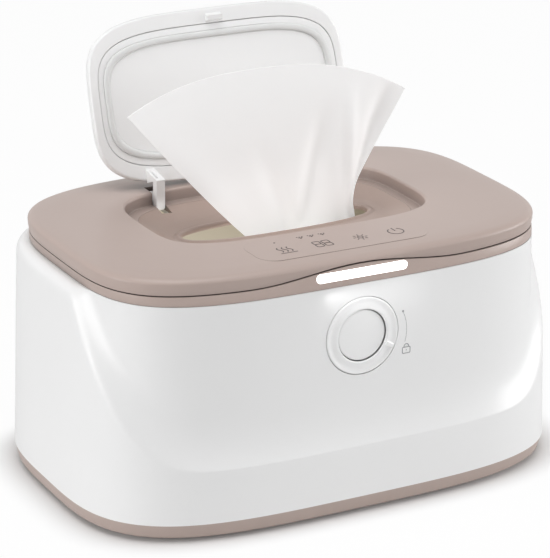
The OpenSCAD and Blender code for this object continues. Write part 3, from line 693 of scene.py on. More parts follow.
@dataclass
class Housing:
    """The white shell with the scooped front, its tray, tub and trim ring."""

    nodes: dict[str, Obj]
    segments: int = 288
    foot_rows: int = 16
    scoop_rows: int = 60
    scoop_top: float = 103.0
    shoulder: float = 6.1
    draft_a: float = 3.65
    draft_b: float = 3.5
    seat_r: float = 18.5
    bore_r: float = 15.2
    boss_r: float = 21.2
    socket_x: float = 62.0
    socket_z: float = 18.0
    socket_r: float = 4.6
    light_half: float = 23.0
    light_z: float = 114.1
    light_r: float = 2.1

    def upper(self, z: float) -> tuple[float, float]:
        """Half width and half depth of the shell above the crease, at height z."""
        below = SIZES.body_top - z
        return SIZES.ring_a + 0.2 + 0.02 * below, SIZES.ring_b + 0.2 + 0.01 * below

    def point(self, t: float, z: float) -> Vector:
        """A point of the shell's outer surface at height z in the direction t."""
        s = SIZES
        shoulder_z = s.body_top - self.shoulder
        k = min(1.0, (z - s.base_top) / (shoulder_z - s.base_top))
        top = max(0.0, min(1.0, (z - shoulder_z) / (s.body_top - shoulder_z)))
        round_in = 1 - math.sqrt(1 - top * top)
        n = mix(s.body_square, s.ring_square, max(0.0, k))
        full_a = mix(mix(s.foot_a, s.foot_a - self.draft_a, k), s.ring_a + 0.6, round_in)
        full_b = mix(mix(s.foot_b, s.foot_b - self.draft_b, k), s.ring_b + 0.5, round_in)
        in_a, in_b = self.upper(z)
        r = reach(n, t)
        w = fall_in((z - crease_at(full_b * r * math.sin(t))) / s.crease_drop)
        return Vector((mix(full_a, in_a, w) * r * math.cos(t), mix(full_b, in_b, w) * r * math.sin(t), z))

    def front_depth(self, x: float, z: float) -> float:
        """Depth of the front face at x and height z, above the crease."""
        in_a, in_b = self.upper(z)
        n = SIZES.ring_square
        return -in_b * (1 - abs(x / in_a) ** n) ** (1 / n)

    def shell(self) -> Obj:
        """The outer housing with the dial's seat, the socket's hole and the light's gap."""
        s = SIZES
        heights = [mix(s.base_top, s.crease_z, k / self.foot_rows) for k in range(self.foot_rows + 1)]
        scoop = [(k / self.scoop_rows) ** 1.25 for k in range(1, self.scoop_rows + 1)]
        heights += [mix(s.crease_z, self.scoop_top, share) for share in scoop]
        heights += [104, 105, 106, 106.9, 107.7, 108.3, 108.8, s.body_top]
        turns = [2 * math.pi * i / self.segments for i in range(self.segments)]
        rings = [[self.point(t, z) for t in turns] for z in heights]
        a, b = s.ring_a - s.wall - 0.2, s.ring_b - s.wall - 0.2
        foot_a, foot_b = s.foot_a - s.wall, s.foot_b - s.wall
        inner = [
            (a - 2.8, b - 2.8, s.body_top, s.ring_square),
            (a - 2.8, b - 2.8, s.body_top - 2.4, s.ring_square),
            (a, b, s.body_top - 5, s.ring_square),
            (a + 1, b + 0.6, s.crease_z + s.crease_drop + 6, s.ring_square),
            (foot_a - 0.5, foot_b - 0.5, s.crease_z - 4, s.body_square),
            (foot_a, foot_b, s.base_top, s.body_square),
        ]
        rings += [ring(ia, ib, z, n, count=self.segments) for ia, ib, z, n in inner]
        shell = loft("housing_shell", rings, Ends.LOOPED)
        x, y, z = self.socket_x, s.front_y, s.dial_z
        cutters = [
            rod((0, y - 6, z), (0, y + 2.2, z), self.seat_r, 160),
            rod((0, y - 6, z), (0, y + 14, z), self.bore_r, 128),
            rod((x, s.foot_b - 12, self.socket_z), (x, s.foot_b + 5, self.socket_z), self.socket_r, 64),
            block((-12, -s.ring_b + 2.5, s.body_top - 8), (12, -s.ring_b + 20, s.body_top + 1)),
        ]
        shade(cut(shell, cutters), 40)
        return fit_piece(shell, Body.HOUSING, WHITE_SHELL, ["outer_housing"])

    def boss(self) -> Obj:
        """The tube behind the front wall in which the dial turns."""
        section = [(self.bore_r, 2.25), (self.boss_r, 2.25), (self.boss_r, 6.4), (self.bore_r, 6.4)]
        return fit_piece(shade(turned("dial_boss", section, 96)), Body.HOUSING, WHITE_SHELL)

    def softened(self, node: str, name: str, finish: Moulding) -> Obj:
        """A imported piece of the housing, smoothed."""
        return fit_piece(softened_copy(self.nodes[node], name), Body.HOUSING, finish, [node])

    def trim(self) -> Obj:
        """The trim ring with its arched top, the light bar's pocket and the hinge ears."""
        s = SIZES
        a, b, q, top = s.ring_a, s.ring_b, s.ring_square, s.seam_z - 0.35
        step_z = 110.65
        rings = [
            ring(a, b, s.body_top, q),
            ring(a + 0.3, b - 0.3, s.body_top + 2.2, q),
            ring(a + 0.4, b - 1.1, top, q, lift=True),
            ring(a - 5.3, b - 5.3, top, q, lift=True),
            ring(a - 5.3, b - 5.3, step_z, q),
            ring(a - 2.1, b - 2.1, step_z, q),
            ring(a - 2.1, b - 2.1, s.body_top, q),
        ]
        trim = round_edges(loft("trim_band", rings, Ends.LOOPED), 0.35)
        half, z = self.light_half - self.light_r, self.light_z
        front, back = -b - 2, -b + 2.8
        pocket = [rod((x, front, z), (x, back, z), self.light_r, 48) for x in (-half, half)]
        pocket.insert(0, block((-half, front, z - self.light_r), (half, back, z + self.light_r)))
        cut(trim, pocket)
        ears = []
        y, z, r = s.hinge_y, s.hinge_z, s.knuckle_r
        for x in (side * (s.hinge_x + shift) for side in (-1, 1) for shift in (-7, 7)):
            ears.append(rod((x - 3, y, z), (x + 3, y, z), r, 48))
            ears.append(block((x - 3, b - 2.6, z - r), (x + 3, y, s.seam_z - 0.6)))
        shade(join(trim, ears))
        return fit_piece(trim, Body.HOUSING, TAUPE_SHELL, ["trim_ring"])

    def build(self) -> None:
        """Makes every piece of the housing."""
        self.shell()
        self.boss()
        self.softened("base_tray", "base_skirt", TAUPE_BASE)
        self.softened("inner_tub", "wipes_tub", CREAM_LINER)
        self.trim()


# Controls


@dataclass
class Controls:
    """The lock dial with its pointer, and the push button in it."""

    dial_r: float = 18.2
    button_r: float = 12.0
    rim_depth: float = 2.6
    sleeve_r: float = 15.12
    sleeve_bore: float = 13.82
    sleeve_end: float = 8.0
    face: float = -0.5
    lock_angle: float = -25.0

    def dial(self) -> Obj:
        """The dished ring on its sleeve."""
        f, bore, rim, rear = self.face, self.button_r + 0.35, self.dial_r, self.face + self.rim_depth
        dish = [(0, 0.55), (0.12, 0.25), (0.45, 0.1), (0.9, 0.1), (1.6, 0.22), (2.5, 0.45), (3.4, 0.55), (4.4, 0.4)]
        profile = [(bore + r, f + d) for r, d in dish]
        profile += [(rim - 1.0, f + 0.12), (rim - 0.5, f + 0.08), (rim - 0.18, f + 0.2), (rim, f + 0.5), (rim, rear)]
        profile += [(self.sleeve_r, rear), (self.sleeve_r, self.sleeve_end), (self.sleeve_bore, self.sleeve_end)]
        profile += [(self.sleeve_bore, f + 1.55), (13.2, f + 0.95), (bore, f + 0.95)]
        dial = shade(turned("dial_face", profile, 160), 50)
        return fit_piece(dial, Body.DIAL, WHITE_TRIM, ["dial_ring"])

    def pointer(self) -> Obj:
        """The raised pointer of the dial, a tapered pip with rounded edges."""
        s = SIZES
        near_r, far_r, near_half, far_half, proud, sunk = 12.8, 17.4, 1.55, 1.05, 0.9, 0.8
        bm = bmesh.new()
        bmesh.ops.create_cube(bm, size=1)
        for vert in bm.verts:
            far, back, up = vert.co.x > 0, vert.co.y > 0, vert.co.z > 0
            vert.co.x = far_r if far else near_r
            vert.co.y = (sunk if back else -proud) + (0.35 if far and not back else 0)
            vert.co.z = (far_half if far else near_half) * (1 if up else -1) * (1.0 if back else 0.8)
        rounding = {"offset": 0.35, "offset_type": "OFFSET", "segments": 3, "affect": "EDGES", "profile": 0.5}
        bmesh.ops.bevel(bm, geom=bm.edges[:], material=-1, **rounding)
        turn = Matrix.Rotation(-math.radians(self.lock_angle), 4, "Y")
        place = Matrix.Translation((0, s.front_y + self.face, s.dial_z)) @ turn
        pointer = shade(moved(object_from(bm, "dial_pointer"), place), 60)
        return fit_piece(pointer, Body.DIAL, WHITE_TRIM)

    def button(self) -> Obj:
        """The push button's cap and stem."""
        f, r, back, stem_r, stem_end = self.face + 1.1, self.button_r, self.face + 3.5, 6, 12.85
        profile = [(0, f + 0.12), (r * 0.35, f + 0.1), (r * 0.7, f + 0.03), (r - 0.9, f), (r - 0.45, f + 0.05)]
        profile += [(r - 0.15, f + 0.2), (r, f + 0.4), (r, back), (stem_r, back), (stem_r, stem_end), (0, stem_end)]
        button = shade(turned("button_cap", profile, 160), 50)
        return fit_piece(button, Body.BUTTON, WHITE_TRIM, ["open_button"])

    def build(self) -> None:
        """Makes every piece of the controls."""
        self.dial()
        self.pointer()
        self.button()


# Main lid


def arm_slots(front: float, back: float, low: float, high: float) -> list[Obj]:
    """Cutters for the two slots that the flip lid's arms swing in."""
    half = SIZES.arm_slot_w / 2
    middles = (-SIZES.arm_x, SIZES.arm_x)
    return [block((x - half, front, low), (x + half, back, high)) for x in middles]


@dataclass
class MainLid:
    """The taupe lid with the recess, and the funnel with the dispensing slot."""

    lip_a: float = SIZES.ring_a + 0.9
    lip_b: float = SIZES.ring_b - 1.2
    ledge_a: float = SIZES.recess_a - 5.55
    ledge_b: float = SIZES.recess_b - 5.55
    ledge_t: float = 1.6
    slot_a: float = 48.0
    slot_b: float = 11.5
    slot_square: float = 2.6
    small: int = 224

    def cover(self) -> Obj:
        """The lid: arched skirt, rounded rim, top, recess wall, ledge and hinge knuckles."""
        s, la, lb, q = SIZES, self.lip_a, self.lip_b, SIZES.ring_square
        ra, rb, rq, ry = s.recess_a, s.recess_b, s.recess_square, s.recess_y
        top, under, inside = s.lid_top, s.ledge_z - self.ledge_t, s.lid_top - s.wall
        skirt = ring(la - 0.5, lb - 0.4, s.seam_z + 0.1, q, lift=True)
        halfway = ring(la - 0.1, lb - 0.1, 0, q)
        for point, low in zip(halfway, skirt):
            point.z = mix(low.z, top - 3.1, 0.5)
        rim = [(0, 3.1), (0.12, 2.5), (0.5, 1.9), (1.0, 1.4), (1.7, 1.0), (2.6, 0.72), (3.6, 0.55)]
        rings = [skirt, halfway, *(ring(la - e, lb - e, top - d, q) for e, d in rim)]
        rings += [ring(la - 7.5, lb - 7, top - 0.2, q), ring(la - 12, lb - 11, top, q)]
        wall = [(1.3, 0), (0.85, 0.07), (0.5, 0.25), (0.25, 0.52), (0.08, 0.9), (0, 1.3), (-0.2, 4.0), (-0.4, 5.3)]
        wall += [(-0.5, 5.6), (-0.7, 5.75), (-1.0, 5.8)]
        rings += [ring(ra + e, rb + e, top - d, rq, ry) for e, d in wall]
        ledge = [(0.3, s.ledge_z), (0.08, s.ledge_z - 0.07), (0, s.ledge_z - 0.25), (0, under)]
        rings += [ring(self.ledge_a + e, self.ledge_b + e, z, rq, ry) for e, z in ledge]
        rings += [ring(ra + 2.1, rb + 2.1, z, rq, ry) for z in (under, inside)]
        a, b = s.ring_a - 1.6, s.ring_b - 3.7
        rings += [ring(a, b, inside, q), ring(a, b, s.seam_z + 0.1, q, lift=True)]
        cover = loft("lid_cover_shell", rings, Ends.LOOPED)
        hook_y = ry - self.ledge_b
        cutters = arm_slots(s.arm_slot_front, s.pivot_y + 3.2, 100, top + 3)
        cutters.append(block((-5.5, hook_y - 3.6, under - 3), (5.5, hook_y + 2, s.ledge_z + 0.2)))
        cut(cover, cutters)
        slope = Matrix.Translation((0, lb - 0.8, top - 4.2)) @ Matrix.Rotation(math.radians(-32), 4, "X")
        knuckles = []
        for x in (-s.hinge_x, s.hinge_x):
            low, high = x - 3.7, x + 3.7
            knuckles.append(rod((low, s.hinge_y, s.hinge_z), (high, s.hinge_y, s.hinge_z), s.knuckle_r, 48))
            knuckles.append(block((low, -1.6, -2.4), (high, 4.6, 0.4), slope))
        shade(join(cover, knuckles))
        return fit_piece(cover, Body.LID, TAUPE_SHELL, ["lid_cover"])

    def dish(self, da: float, db: float, z: float, square: float = SIZES.recess_square) -> Ring:
        """A ring of the funnel, da and db outside the ledge's inner edge."""
        return ring(self.ledge_a + da, self.ledge_b + db, z, square, SIZES.recess_y, self.small)

    def funnel(self) -> Obj:
        """The dished funnel with the slot's rolled lip."""
        s = SIZES
        under, liner_top, lip = s.ledge_z - self.ledge_t, s.ledge_z - 2.6, s.ledge_z - 6.2
        floor = lip + 2.3
        roll = [
            (3.4, 0.9), (1.6, 0), (0.9, 0.02), (0.4, 0.15), (0.1, 0.4), (0, 0.8), (0, 1.5), (0.1, 1.9), (0.4, 2.25),
            (0.85, 2.5), (1.4, 2.6), (2.0, 2.55), (2.6, 2.35), (3.1, 2.1), (3.6, 1.98), (4.2, 1.97),
        ]
        bend = [(-9.6, -15.2, -0.1, 3.3), (-8.7, -14.1, 0.02, 3.4), (-7.9, -13.1, 0.25, 3.5), (-7.1, -12.0, 0.6, 3.6)]
        edge = [(-0.7, -0.9, 0.42), (-0.3, -0.35, 0.25), (-0.05, -0.05, 0.18)]
        rings = [self.dish(3.6, 3.6, under), self.dish(3.6, 3.6, liner_top), self.dish(-0.7, -0.7, liner_top)]
        rings.append(self.dish(-7.5, -13.5, floor - 1.6, 3.4))
        for e, z in roll:
            a, b = self.slot_a + e, self.slot_b + e
            rings.append(ring(a, b, lip + z, self.slot_square, s.recess_y, self.small))
        rings += [self.dish(da, db, floor + rise, square) for da, db, rise, square in bend]
        rings.append(self.dish(-4.0, -6.6, mix(floor + 0.6, s.ledge_z - 0.4, 0.48), 3.8))
        rings += [self.dish(da, db, s.ledge_z - drop) for da, db, drop in edge]
        rings.append(self.dish(-0.05, -0.05, under))
        funnel = loft("dispenser_funnel", rings, Ends.LOOPED)
        hook_y = s.recess_y - self.ledge_b
        cutters = arm_slots(s.arm_slot_front, 70, 100, s.lid_top)
        cutters.append(block((-5.5, hook_y - 3.6, liner_top), (5.5, hook_y + 3.4, s.lid_top)))
        shade(cut(funnel, cutters), 44)
        return fit_piece(funnel, Body.LID, SHADED_TAUPE_INSET, ["dispenser_insert"])

    def build(self) -> None:
        """Makes every piece of the lid."""
        self.cover()
        self.funnel()


# Printed marks


def arc(cx: float, cy: float, r: float, start: float, end: float, count: int = 24) -> list[tuple[float, float]]:
    """Points of a circular arc between two angles in degrees."""
    turns = [math.radians(mix(start, end, k / count)) for k in range(count + 1)]
    return [(cx + r * math.cos(t), cy + r * math.sin(t)) for t in turns]


def rounded_box(cx: float, cy: float, w: float, h: float, r: float) -> list[tuple[float, float]]:
    """Points of a box with rounded corners."""
    points = []
    for sx, sy, start in ((1, 1, 0), (-1, 1, 90), (-1, -1, 180), (1, -1, 270)):
        points += arc(cx + sx * (w / 2 - r), cy + sy * (h / 2 - r), r, start, start + 90, 5)
    return points + points[:1]


@dataclass
class Print:
    """Thin printed lines, drawn flat and then laid on a face."""

    name: str
    lay: Callable[[float, float, float], Vector]
    width: float = 0.5
    thickness: float = 0.05

    def make(self, strokes: Sequence[Stroke], widths: Sequence[float] = ()) -> Obj:
        """Makes one mesh of several strokes.

        Args:
            strokes: Points of each line in the print's plane, in millimetres.
            widths: Width of each line as a share of the print's width, or nothing for equal lines.

        Returns:
            The object.
        """
        curve = bpy.data.curves.new(self.name, "CURVE")
        curve.dimensions = "3D"
        curve.bevel_depth = self.width / 2
        curve.bevel_resolution = 1
        curve.use_fill_caps = True
        for index, stroke in enumerate(strokes):
            spline = curve.splines.new("POLY")
            spline.points.add(len(stroke) - 1)
            for point, (x, y) in zip(spline.points, stroke):
                point.co = (x, y, 0, 1)
                point.radius = widths[index] if widths else 1.0
        drawn = linked(self.name, curve)
        mesh = evaluated_mesh(drawn)
        bpy.data.objects.remove(drawn)
        for vert in mesh.vertices:
            flat = vert.co.z / (self.width / 2) * self.thickness
            vert.co = self.lay(vert.co.x, vert.co.y, flat) * MM
        return linked(self.name, mesh)


@dataclass
class Marks:
    """The symbols on the touch field, and the lock's scale beside the dial."""

    housing: Housing
    row: float = -55.0

    def on_touch_field(self, x: float, y: float, up: float) -> Vector:
        """Lays a drawn point on the touch field."""
        return Vector((x, y, SIZES.lid_top + 0.12 + up))

    def on_front(self, x: float, y: float, up: float) -> Vector:
        """Lays a drawn point on the housing's front."""
        return Vector((x, self.housing.front_depth(x, y) - up, y))

    def symbols(self) -> Obj:
        """The symbols for heat, time, lamp and power."""
        y = self.row
        strokes: list[Stroke] = []
        for x in (-29.6, -27.2, -24.8):
            wave = [(x + 0.75 * math.sin(2 * math.pi * k / 16), y + mix(-2.6, 3.4, k / 16)) for k in range(17)]
            strokes.append(wave)
        strokes.append([(-31.2, y - 4.0), (-23.0, y - 4.0)])
        for x in (-10.6, -6.0):
            strokes += [rounded_box(x, y + 1.75, 3.5, 3.5, 0.9), rounded_box(x, y - 1.75, 3.5, 3.5, 0.9)]
        lamp_x, power_x = 11, 29.3
        strokes.append(arc(lamp_x, y, 1.3, 0, 360, 16))
        for k in range(8):
            t = math.radians(45 * k)
            strokes.append([(lamp_x + r * math.cos(t), y + r * math.sin(t)) for r in (2.3, 3.5)])
        strokes.append(arc(power_x, y, 3.7, -238, 58, 28))
        strokes.append([(power_x, y + 0.6), (power_x, y + 4.4)])
        printed = Print("touch_symbols", self.on_touch_field).make(strokes)
        return fit_piece(printed, Body.LID, PRINT_GREY)

    def levels(self) -> Obj:
        """Three small level marks and the dot of the heat symbol."""
        strokes: list[Stroke] = [arc(-27.3, -44.7, 0.25, 0, 360, 8)]
        for x in (-13.6, -8.1, -2.5):
            strokes += [arc(x + d, -42.8, 0.14, 0, 360, 6) for d in (-1.3, 0, 1.3)]
            strokes.append([(x - 0.1, -44.2), (x - 0.1, -45.0)])
            strokes.append([(x - 1.0, -43.7), (x, -44.1), (x + 1.0, -43.7)])
        printed = Print("touch_levels", self.on_touch_field).make(strokes)
        return fit_piece(printed, Body.LID, PRINT_GREY)

    def lock_scale(self) -> Obj:
        """The dot, the thin arc and the padlock beside the dial."""
        line = [(20.9, 92.0), (21.7, 90.1), (22.4, 87.6), (22.8, 85.0), (22.85, 82.6), (22.6, 80.2), (22.0, 77.6)]
        shackle = [(21.6, 74.9), *arc(22.8, 75.3, 1.2, 180, 0, 10), (24.0, 74.9)]
        case, keyhole = rounded_box(22.8, 73.5, 4.0, 2.9, 0.5), arc(22.8, 73.5, 0.12, 0, 360, 6)
        strokes = [line, arc(20.8, 92.4, 0.3, 0, 360, 10), case, shackle, keyhole]
        printed = Print("lock_scale", self.on_front, 0.42).make(strokes, [0.5, 1.2, 1.0, 1.0, 0.7])
        return fit_piece(printed, Body.HOUSING, PRINT_PALE)

    def build(self) -> None:
        """Makes every print."""
        self.symbols()
        self.levels()
        self.lock_scale()


# Flip lid


@dataclass
class FlipLid:
    """The open flip lid with its panel, seal and arms; its shells are drawn closed and turned open."""

    nodes: dict[str, Obj]
    half_a: float = SIZES.recess_a - 0.45
    half_b: float = SIZES.recess_b - 0.9
    centre_y: float = SIZES.recess_y - 0.45
    count: int = 224

    @property
    def step(self) -> tuple[float, float]:
        """Half sizes of the step line on the inner side."""
        return self.half_a - 4.4, self.half_b - 7.4

    @property
    def seal_line(self) -> tuple[float, float]:
        """Half sizes of the seal's outer edge."""
        return self.step[0] - 2.9, self.step[1] - 3.4

    def opened(self) -> Matrix:
        """Turns the closed place into the open one, in millimetres."""
        pivot = Vector((0, SIZES.pivot_y, SIZES.pivot_z))
        turn = Matrix.Rotation(-math.radians(SIZES.flip_swing), 4, "X")
        return Matrix.Translation(pivot) @ turn @ Matrix.Translation(-pivot)

    def bands(self, a: float, b: float, rows: Sequence[tuple[float, float]]) -> list[Ring]:
        """Rings of the flip lid: how far each lies outside the half sizes a and b, and its height."""
        square = SIZES.recess_square
        return [ring(a + e, b + e, z, square, self.centre_y, self.count) for e, z in rows]

    def cover(self) -> Obj:
        """The outer dish of the flip lid."""
        a, b, top, low = self.half_a, self.half_b, SIZES.lid_top, SIZES.flange_z
        inner = [(-0.2, top - 2.2), (0, low + 0.35), (0.12, low + 0.1), (0.4, low)]
        outer = [(-1.2, low), (-0.75, low + 0.12), (-0.4, low + 0.45), (-0.18, low + 1.0), (0, low + 2.6)]
        outer += [(-0.2, low + 3.5), (-0.6, top - 1.2), (-1.3, top - 0.65), (-2.2, top - 0.3), (-3.6, top - 0.1)]
        outer.append((-5.5, top))
        rings = self.bands(*self.step, inner) + self.bands(a, b, outer) + self.bands(a - 30, b - 24, [(0, top + 0.3)])
        cover = shade(moved(loft("flip_dish", rings, Ends.CAPPED), self.opened()))
        return fit_piece(cover, Body.FLIP, WHITE_TRIM, ["flip_cover"])

    def panel(self) -> Obj:
        """The inner panel with the seal's groove."""
        face, groove, top = SIZES.flange_z + 0.2, SIZES.flange_z + 1.6, SIZES.lid_top - 2.2
        inner = [(-7, face + 0.1), (-3.4, face), (-3.05, face + 0.25), (-3, groove), (0, groove)]
        inner += [(0.05, face + 0.25), (0.4, face)]
        outer = [(-0.7, face), (-0.25, face + 0.3), (-0.3, top)]
        rings = self.bands(*self.seal_line, inner) + self.bands(*self.step, outer)
        panel = shade(moved(loft("flip_inner_panel", rings, Ends.CAPPED), self.opened()))
        return fit_piece(panel, Body.FLIP, WHITE_TRIM, ["flip_panel"])

    def seal(self) -> Obj:
        """The soft seal, a rounded bead in its groove."""
        groove, low = SIZES.flange_z + 1.6, SIZES.flange_z - 1.1
        bead = [(0, groove), (-3, groove), (-3, low + 0.9), (-2.8, low + 0.45), (-2.35, low + 0.12), (-1.8, low)]
        bead += [(-1.2, low), (-0.65, low + 0.12), (-0.2, low + 0.45), (0, low + 0.9)]
        seal = loft("flip_seal_bead", self.bands(*self.seal_line, bead), Ends.LOOPED)
        return fit_piece(shade(moved(seal, self.opened())), Body.FLIP, SEAL_RUBBER, ["flip_seal"])

    def arms(self) -> Obj:
        """The gooseneck arms, with their edges rounded."""
        arms = softened_copy(self.nodes["flip_arms"], "flip_goosenecks", 0.35)
        return fit_piece(arms, Body.FLIP, WHITE_TRIM, ["flip_arms"])

    def build(self) -> None:
        """Makes every piece of the flip lid."""
        self.cover()
        self.panel()
        self.seal()
        self.arms()


# Wipe


@dataclass(frozen=True)
class Fold:
    """A soft fold that runs up the wipe and fades out, in millimetres."""

    depth: float
    x: float
    lean: float
    width: float
    fade_from: float
    fade_to: float
    z: float = 115.0
    widening: float = 0.0

    def push(self, x: float, z: float) -> float:
        """How far the fold moves the cloth to the rear at x and height z."""
        centre = self.x + self.lean * (z - self.z)
        width = self.width + self.widening * (z - self.z)
        fade = 1 - ease((z - self.fade_from) / (self.fade_to - self.fade_from))
        return self.depth * math.exp(-(((x - centre) / width) ** 2)) * fade


FOLDS = (
    Fold(3.2, 16.4, 0.16, 5.5, 135, 176),
    Fold(2.2, 4.7, -0.38, 5.5, 118, 158),
    Fold(-1.3, 30.5, 0.0, 6.0, 125, 165),
    Fold(-1.8, 38.5, 0.0, 3.2, 150, 182),
    Fold(-1.2, -20.0, -0.8, 9.0, 120, 170),
)
TURNED_EDGE = Fold(5.6, 43.5, 0.3, 4.2, 150, 184, z=121.0, widening=0.05)


@dataclass
class Wipe:
    """The wipe that stands out of the slot: its gathered foot fans out to a loose top with one turned edge."""

    foot: float = 101.0
    top: float = 188.0
    foot_left: float = -8.0
    foot_right: float = 42.0
    top_left: float = -75.0
    top_right: float = 68.0
    across: int = 150
    along: int = 110

    def edge(self, v: float) -> tuple[float, float]:
        """Left and right edge of the cloth at a share v of its height."""
        left = self.foot_left + (self.top_left - self.foot_left) * v**0.9
        spread = max(0.0, (v - 0.2) / 0.8) ** 1.15
        return left, self.foot_right + (self.top_right - self.foot_right) * spread

    def crest(self, x: float) -> float:
        """Height of the top edge over x."""
        if x < 0:
            return self.top - 14.7 * (x / self.top_left) ** 2.8
        return self.top - 19 * (x / self.top_right) ** 2.1

    def point(self, u: float, v: float) -> Vector:
        """Middle surface of the cloth, u across and v upwards, both 0 to 1."""
        x = mix(*self.edge(v), u)
        z = mix(self.foot, self.crest(mix(self.top_left, self.top_right, u)), v)
        y = 5.0 + 1.2 * math.sin(5.2 * u + 0.6) * v
        y += sum(fold.push(x, z) for fold in FOLDS) + TURNED_EDGE.push(x, z) * ease((z - 104) / 22)
        return Vector((x, y, z))

    def build(self) -> Obj:
        """Makes the sheet, with a UV map in real size, and gives it a mesh of its own."""
        bm = bmesh.new()
        uv = bm.loops.layers.uv.new("UVMap")
        bmesh.ops.create_grid(bm, x_segments=self.across, y_segments=self.along, size=0.5)
        for face in bm.faces:
            for loop in face.loops:
                loop[uv].uv = ((loop.vert.co.x + 0.5) * 0.16, (loop.vert.co.y + 0.5) * 0.1)
        for vert in bm.verts:
            vert.co = self.point(vert.co.x + 0.5, vert.co.y + 0.5)
        bmesh.ops.recalc_face_normals(bm, faces=bm.faces)
        cloth = object_from(bm, "raised_wipe")
        solid = cloth.modifiers.new("Thickness", "SOLIDIFY")
        solid.thickness = 0.5 * MM
        solid.offset = 0.0
        apply_modifiers(cloth)
        shade(cloth, 60)
        fit_piece(cloth, Body.LID, WIPE_CLOTH, ["wipe"])
        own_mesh(cloth)
        return cloth


# Studio


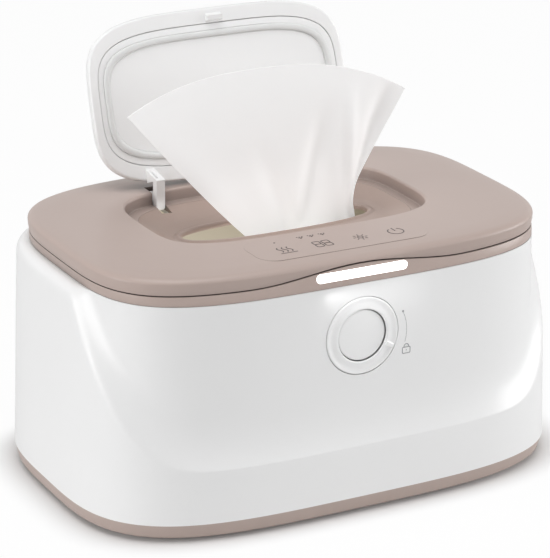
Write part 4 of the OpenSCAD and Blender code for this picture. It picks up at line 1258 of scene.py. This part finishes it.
@dataclass
class Studio:
    """Camera, soft lamps, pale floor and the light that the bar throws on the front."""

    azimuth: float = -27.93
    elevation: float = 20.03
    roll: float = 0.36
    station: tuple[float, float, float] = (-547.69, -1027.28, 510.33)
    focal_px: float = 2643.22
    height_px: float = 558.0
    sensor: float = 36.0
    floor_half: float = 8000.0

    def camera(self) -> None:
        """Sets the camera at the photograph's station."""
        data = bpy.data.cameras.new("camera")
        data.sensor_fit = "VERTICAL"
        data.sensor_height = self.sensor
        data.lens = self.focal_px / self.height_px * self.sensor
        data.clip_end = 50.0
        az, el, roll = (math.radians(a) for a in (self.azimuth, self.elevation, self.roll))
        back = Vector((math.sin(az) * math.cos(el), -math.cos(az) * math.cos(el), math.sin(el)))
        right = Vector((math.cos(az), math.sin(az), 0))
        up = back.cross(right)
        turned_right = right * math.cos(roll) + up * math.sin(roll)
        turned_up = up * math.cos(roll) - right * math.sin(roll)
        place = Matrix((turned_right, turned_up, back)).transposed().to_4x4()
        place.translation = Vector(self.station) * MM
        camera = linked("camera", data)
        camera.matrix_world = place
        bpy.context.scene.camera = camera

    def lamp(self, name: str, place: Point, aim: Point, size: tuple[float, float], watts: float) -> None:
        """Adds a rectangular area lamp.

        Args:
            name: Name of the lamp.
            place: Where it stands, in metres.
            aim: The point that it faces.
            size: Its two sides, in metres.
            watts: Its power.
        """
        data = bpy.data.lights.new(name, "AREA")
        data.shape = "RECTANGLE"
        data.size, data.size_y = size
        data.energy = watts
        facing = (Vector(aim) - Vector(place)).to_track_quat("-Z", "Y").to_matrix().to_4x4()
        linked(name, data).matrix_world = Matrix.Translation(place) @ facing

    def whiteness(self, tree: Tree) -> Socket:
        """Share of plain white in the floor: little round the foot, where the shadow lies, and more beyond."""
        place = tree.nodes.new("ShaderNodeTexCoord")
        axes = add_node(tree, "ShaderNodeSeparateXYZ", {"Vector": place.outputs["Object"]})
        n = SIZES.body_square
        shares = []
        for axis, half in (("X", SIZES.foot_a), ("Y", SIZES.foot_b)):
            size = math_node(tree, "ABSOLUTE", axes.outputs[axis], 0.0)
            shares.append(math_node(tree, "POWER", math_node(tree, "DIVIDE", size, half * MM), n))
        away = math_node(tree, "POWER", math_node(tree, "ADD", *shares), 1 / n)
        limits = {"Value": away, "From Min": 0.98, "From Max": 1.14, "To Min": 0.05, "To Max": 0.95}
        spread = add_node(tree, "ShaderNodeMapRange", limits)
        spread.interpolation_type = "SMOOTHSTEP"
        return spread.outputs["Result"]

    def floor(self) -> None:
        """A wide pale floor that shows white in the view and keeps the shadow."""
        bm = bmesh.new()
        bmesh.ops.create_grid(bm, x_segments=1, y_segments=1, size=self.floor_half)
        floor = object_from(bm, "studio_floor")
        material = bpy.data.materials.new("studio_floor")
        material.use_nodes = True
        tree = material.node_tree
        shader = tree.nodes["Principled BSDF"]
        feed(tree, shader, {"Base Color": (0.9, 0.9, 0.9, 1), "Roughness": 0.8})
        white = add_node(tree, "ShaderNodeEmission", {"Strength": 1.0})
        seen = tree.nodes.new("ShaderNodeLightPath").outputs["Is Camera Ray"]
        share = math_node(tree, "MULTIPLY", seen, self.whiteness(tree))
        layers = {"Fac": share, 1: shader.outputs["BSDF"], 2: white.outputs["Emission"]}
        mixed = add_node(tree, "ShaderNodeMixShader", layers)
        tree.links.new(mixed.outputs["Shader"], tree.nodes["Material Output"].inputs["Surface"])
        floor.data.materials.append(material)

    def sky(self) -> None:
        """An even pale surround, white where the view sees it."""
        world = bpy.data.worlds.new("studio")
        world.use_nodes = True
        bpy.context.scene.world = world
        tree = world.node_tree
        background = tree.nodes["Background"]
        background.inputs["Color"].default_value = (1, 1, 1, 1)
        ray = tree.nodes.new("ShaderNodeLightPath")
        seen = math_node(tree, "MAXIMUM", ray.outputs["Is Camera Ray"], ray.outputs["Is Glossy Ray"])
        seen = math_node(tree, "MAXIMUM", seen, ray.outputs["Is Transmission Ray"])
        strength = math_node(tree, "ADD", math_node(tree, "MULTIPLY", seen, 0.78), 0.22)
        tree.links.new(strength, background.inputs["Strength"])

    def build(self) -> None:
        """Adds lamps, floor and surround."""
        aim = (0, 0, 0.08)
        self.lamp("overhead", (-0.2, -0.2, 1.6), aim, (1.4, 1.2), 14.5)
        self.lamp("left", (-1.8, 0.0, 0.35), aim, (1.2, 1.0), 14.0)
        self.lamp("right", (1.8, -0.7, 0.35), aim, (1.0, 1.0), 18.0)
        self.lamp("front", (0.5, -1.8, 1.0), aim, (1.0, 1.0), 2.0)
        self.lamp("bar_light", (0.006, -0.0865, 0.1055), (0.008, -0.0775, 0.0925), (0.05, 0.005), 0.0009)
        self.lamp("tub_light", (-0.02, -0.02, 0.05), (-0.02, 0.05, 0.085), (0.1, 0.03), 0.055)
        self.floor()
        self.sky()
        bpy.context.scene.view_settings.view_transform = "Standard"


# Main


def main() -> None:
    """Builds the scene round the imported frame."""
    logging.basicConfig(level=logging.INFO, format="%(name)s: %(message)s")
    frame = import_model()
    nodes = frame["nodes"]
    studio = Studio()
    studio.camera()
    for finish, names in NODE_FINISHES.items():
        for name in names:
            dress(nodes[name], finish)
            LOG.info("%s keeps its packed shape", name)
    housing = Housing(nodes)
    housing.build()
    Controls().build()
    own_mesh(nodes["button_spring"])
    MainLid().build()
    Marks(housing).build()
    FlipLid(nodes).build()
    Wipe().build()
    studio.build()


if __name__ == "__main__":
    main()
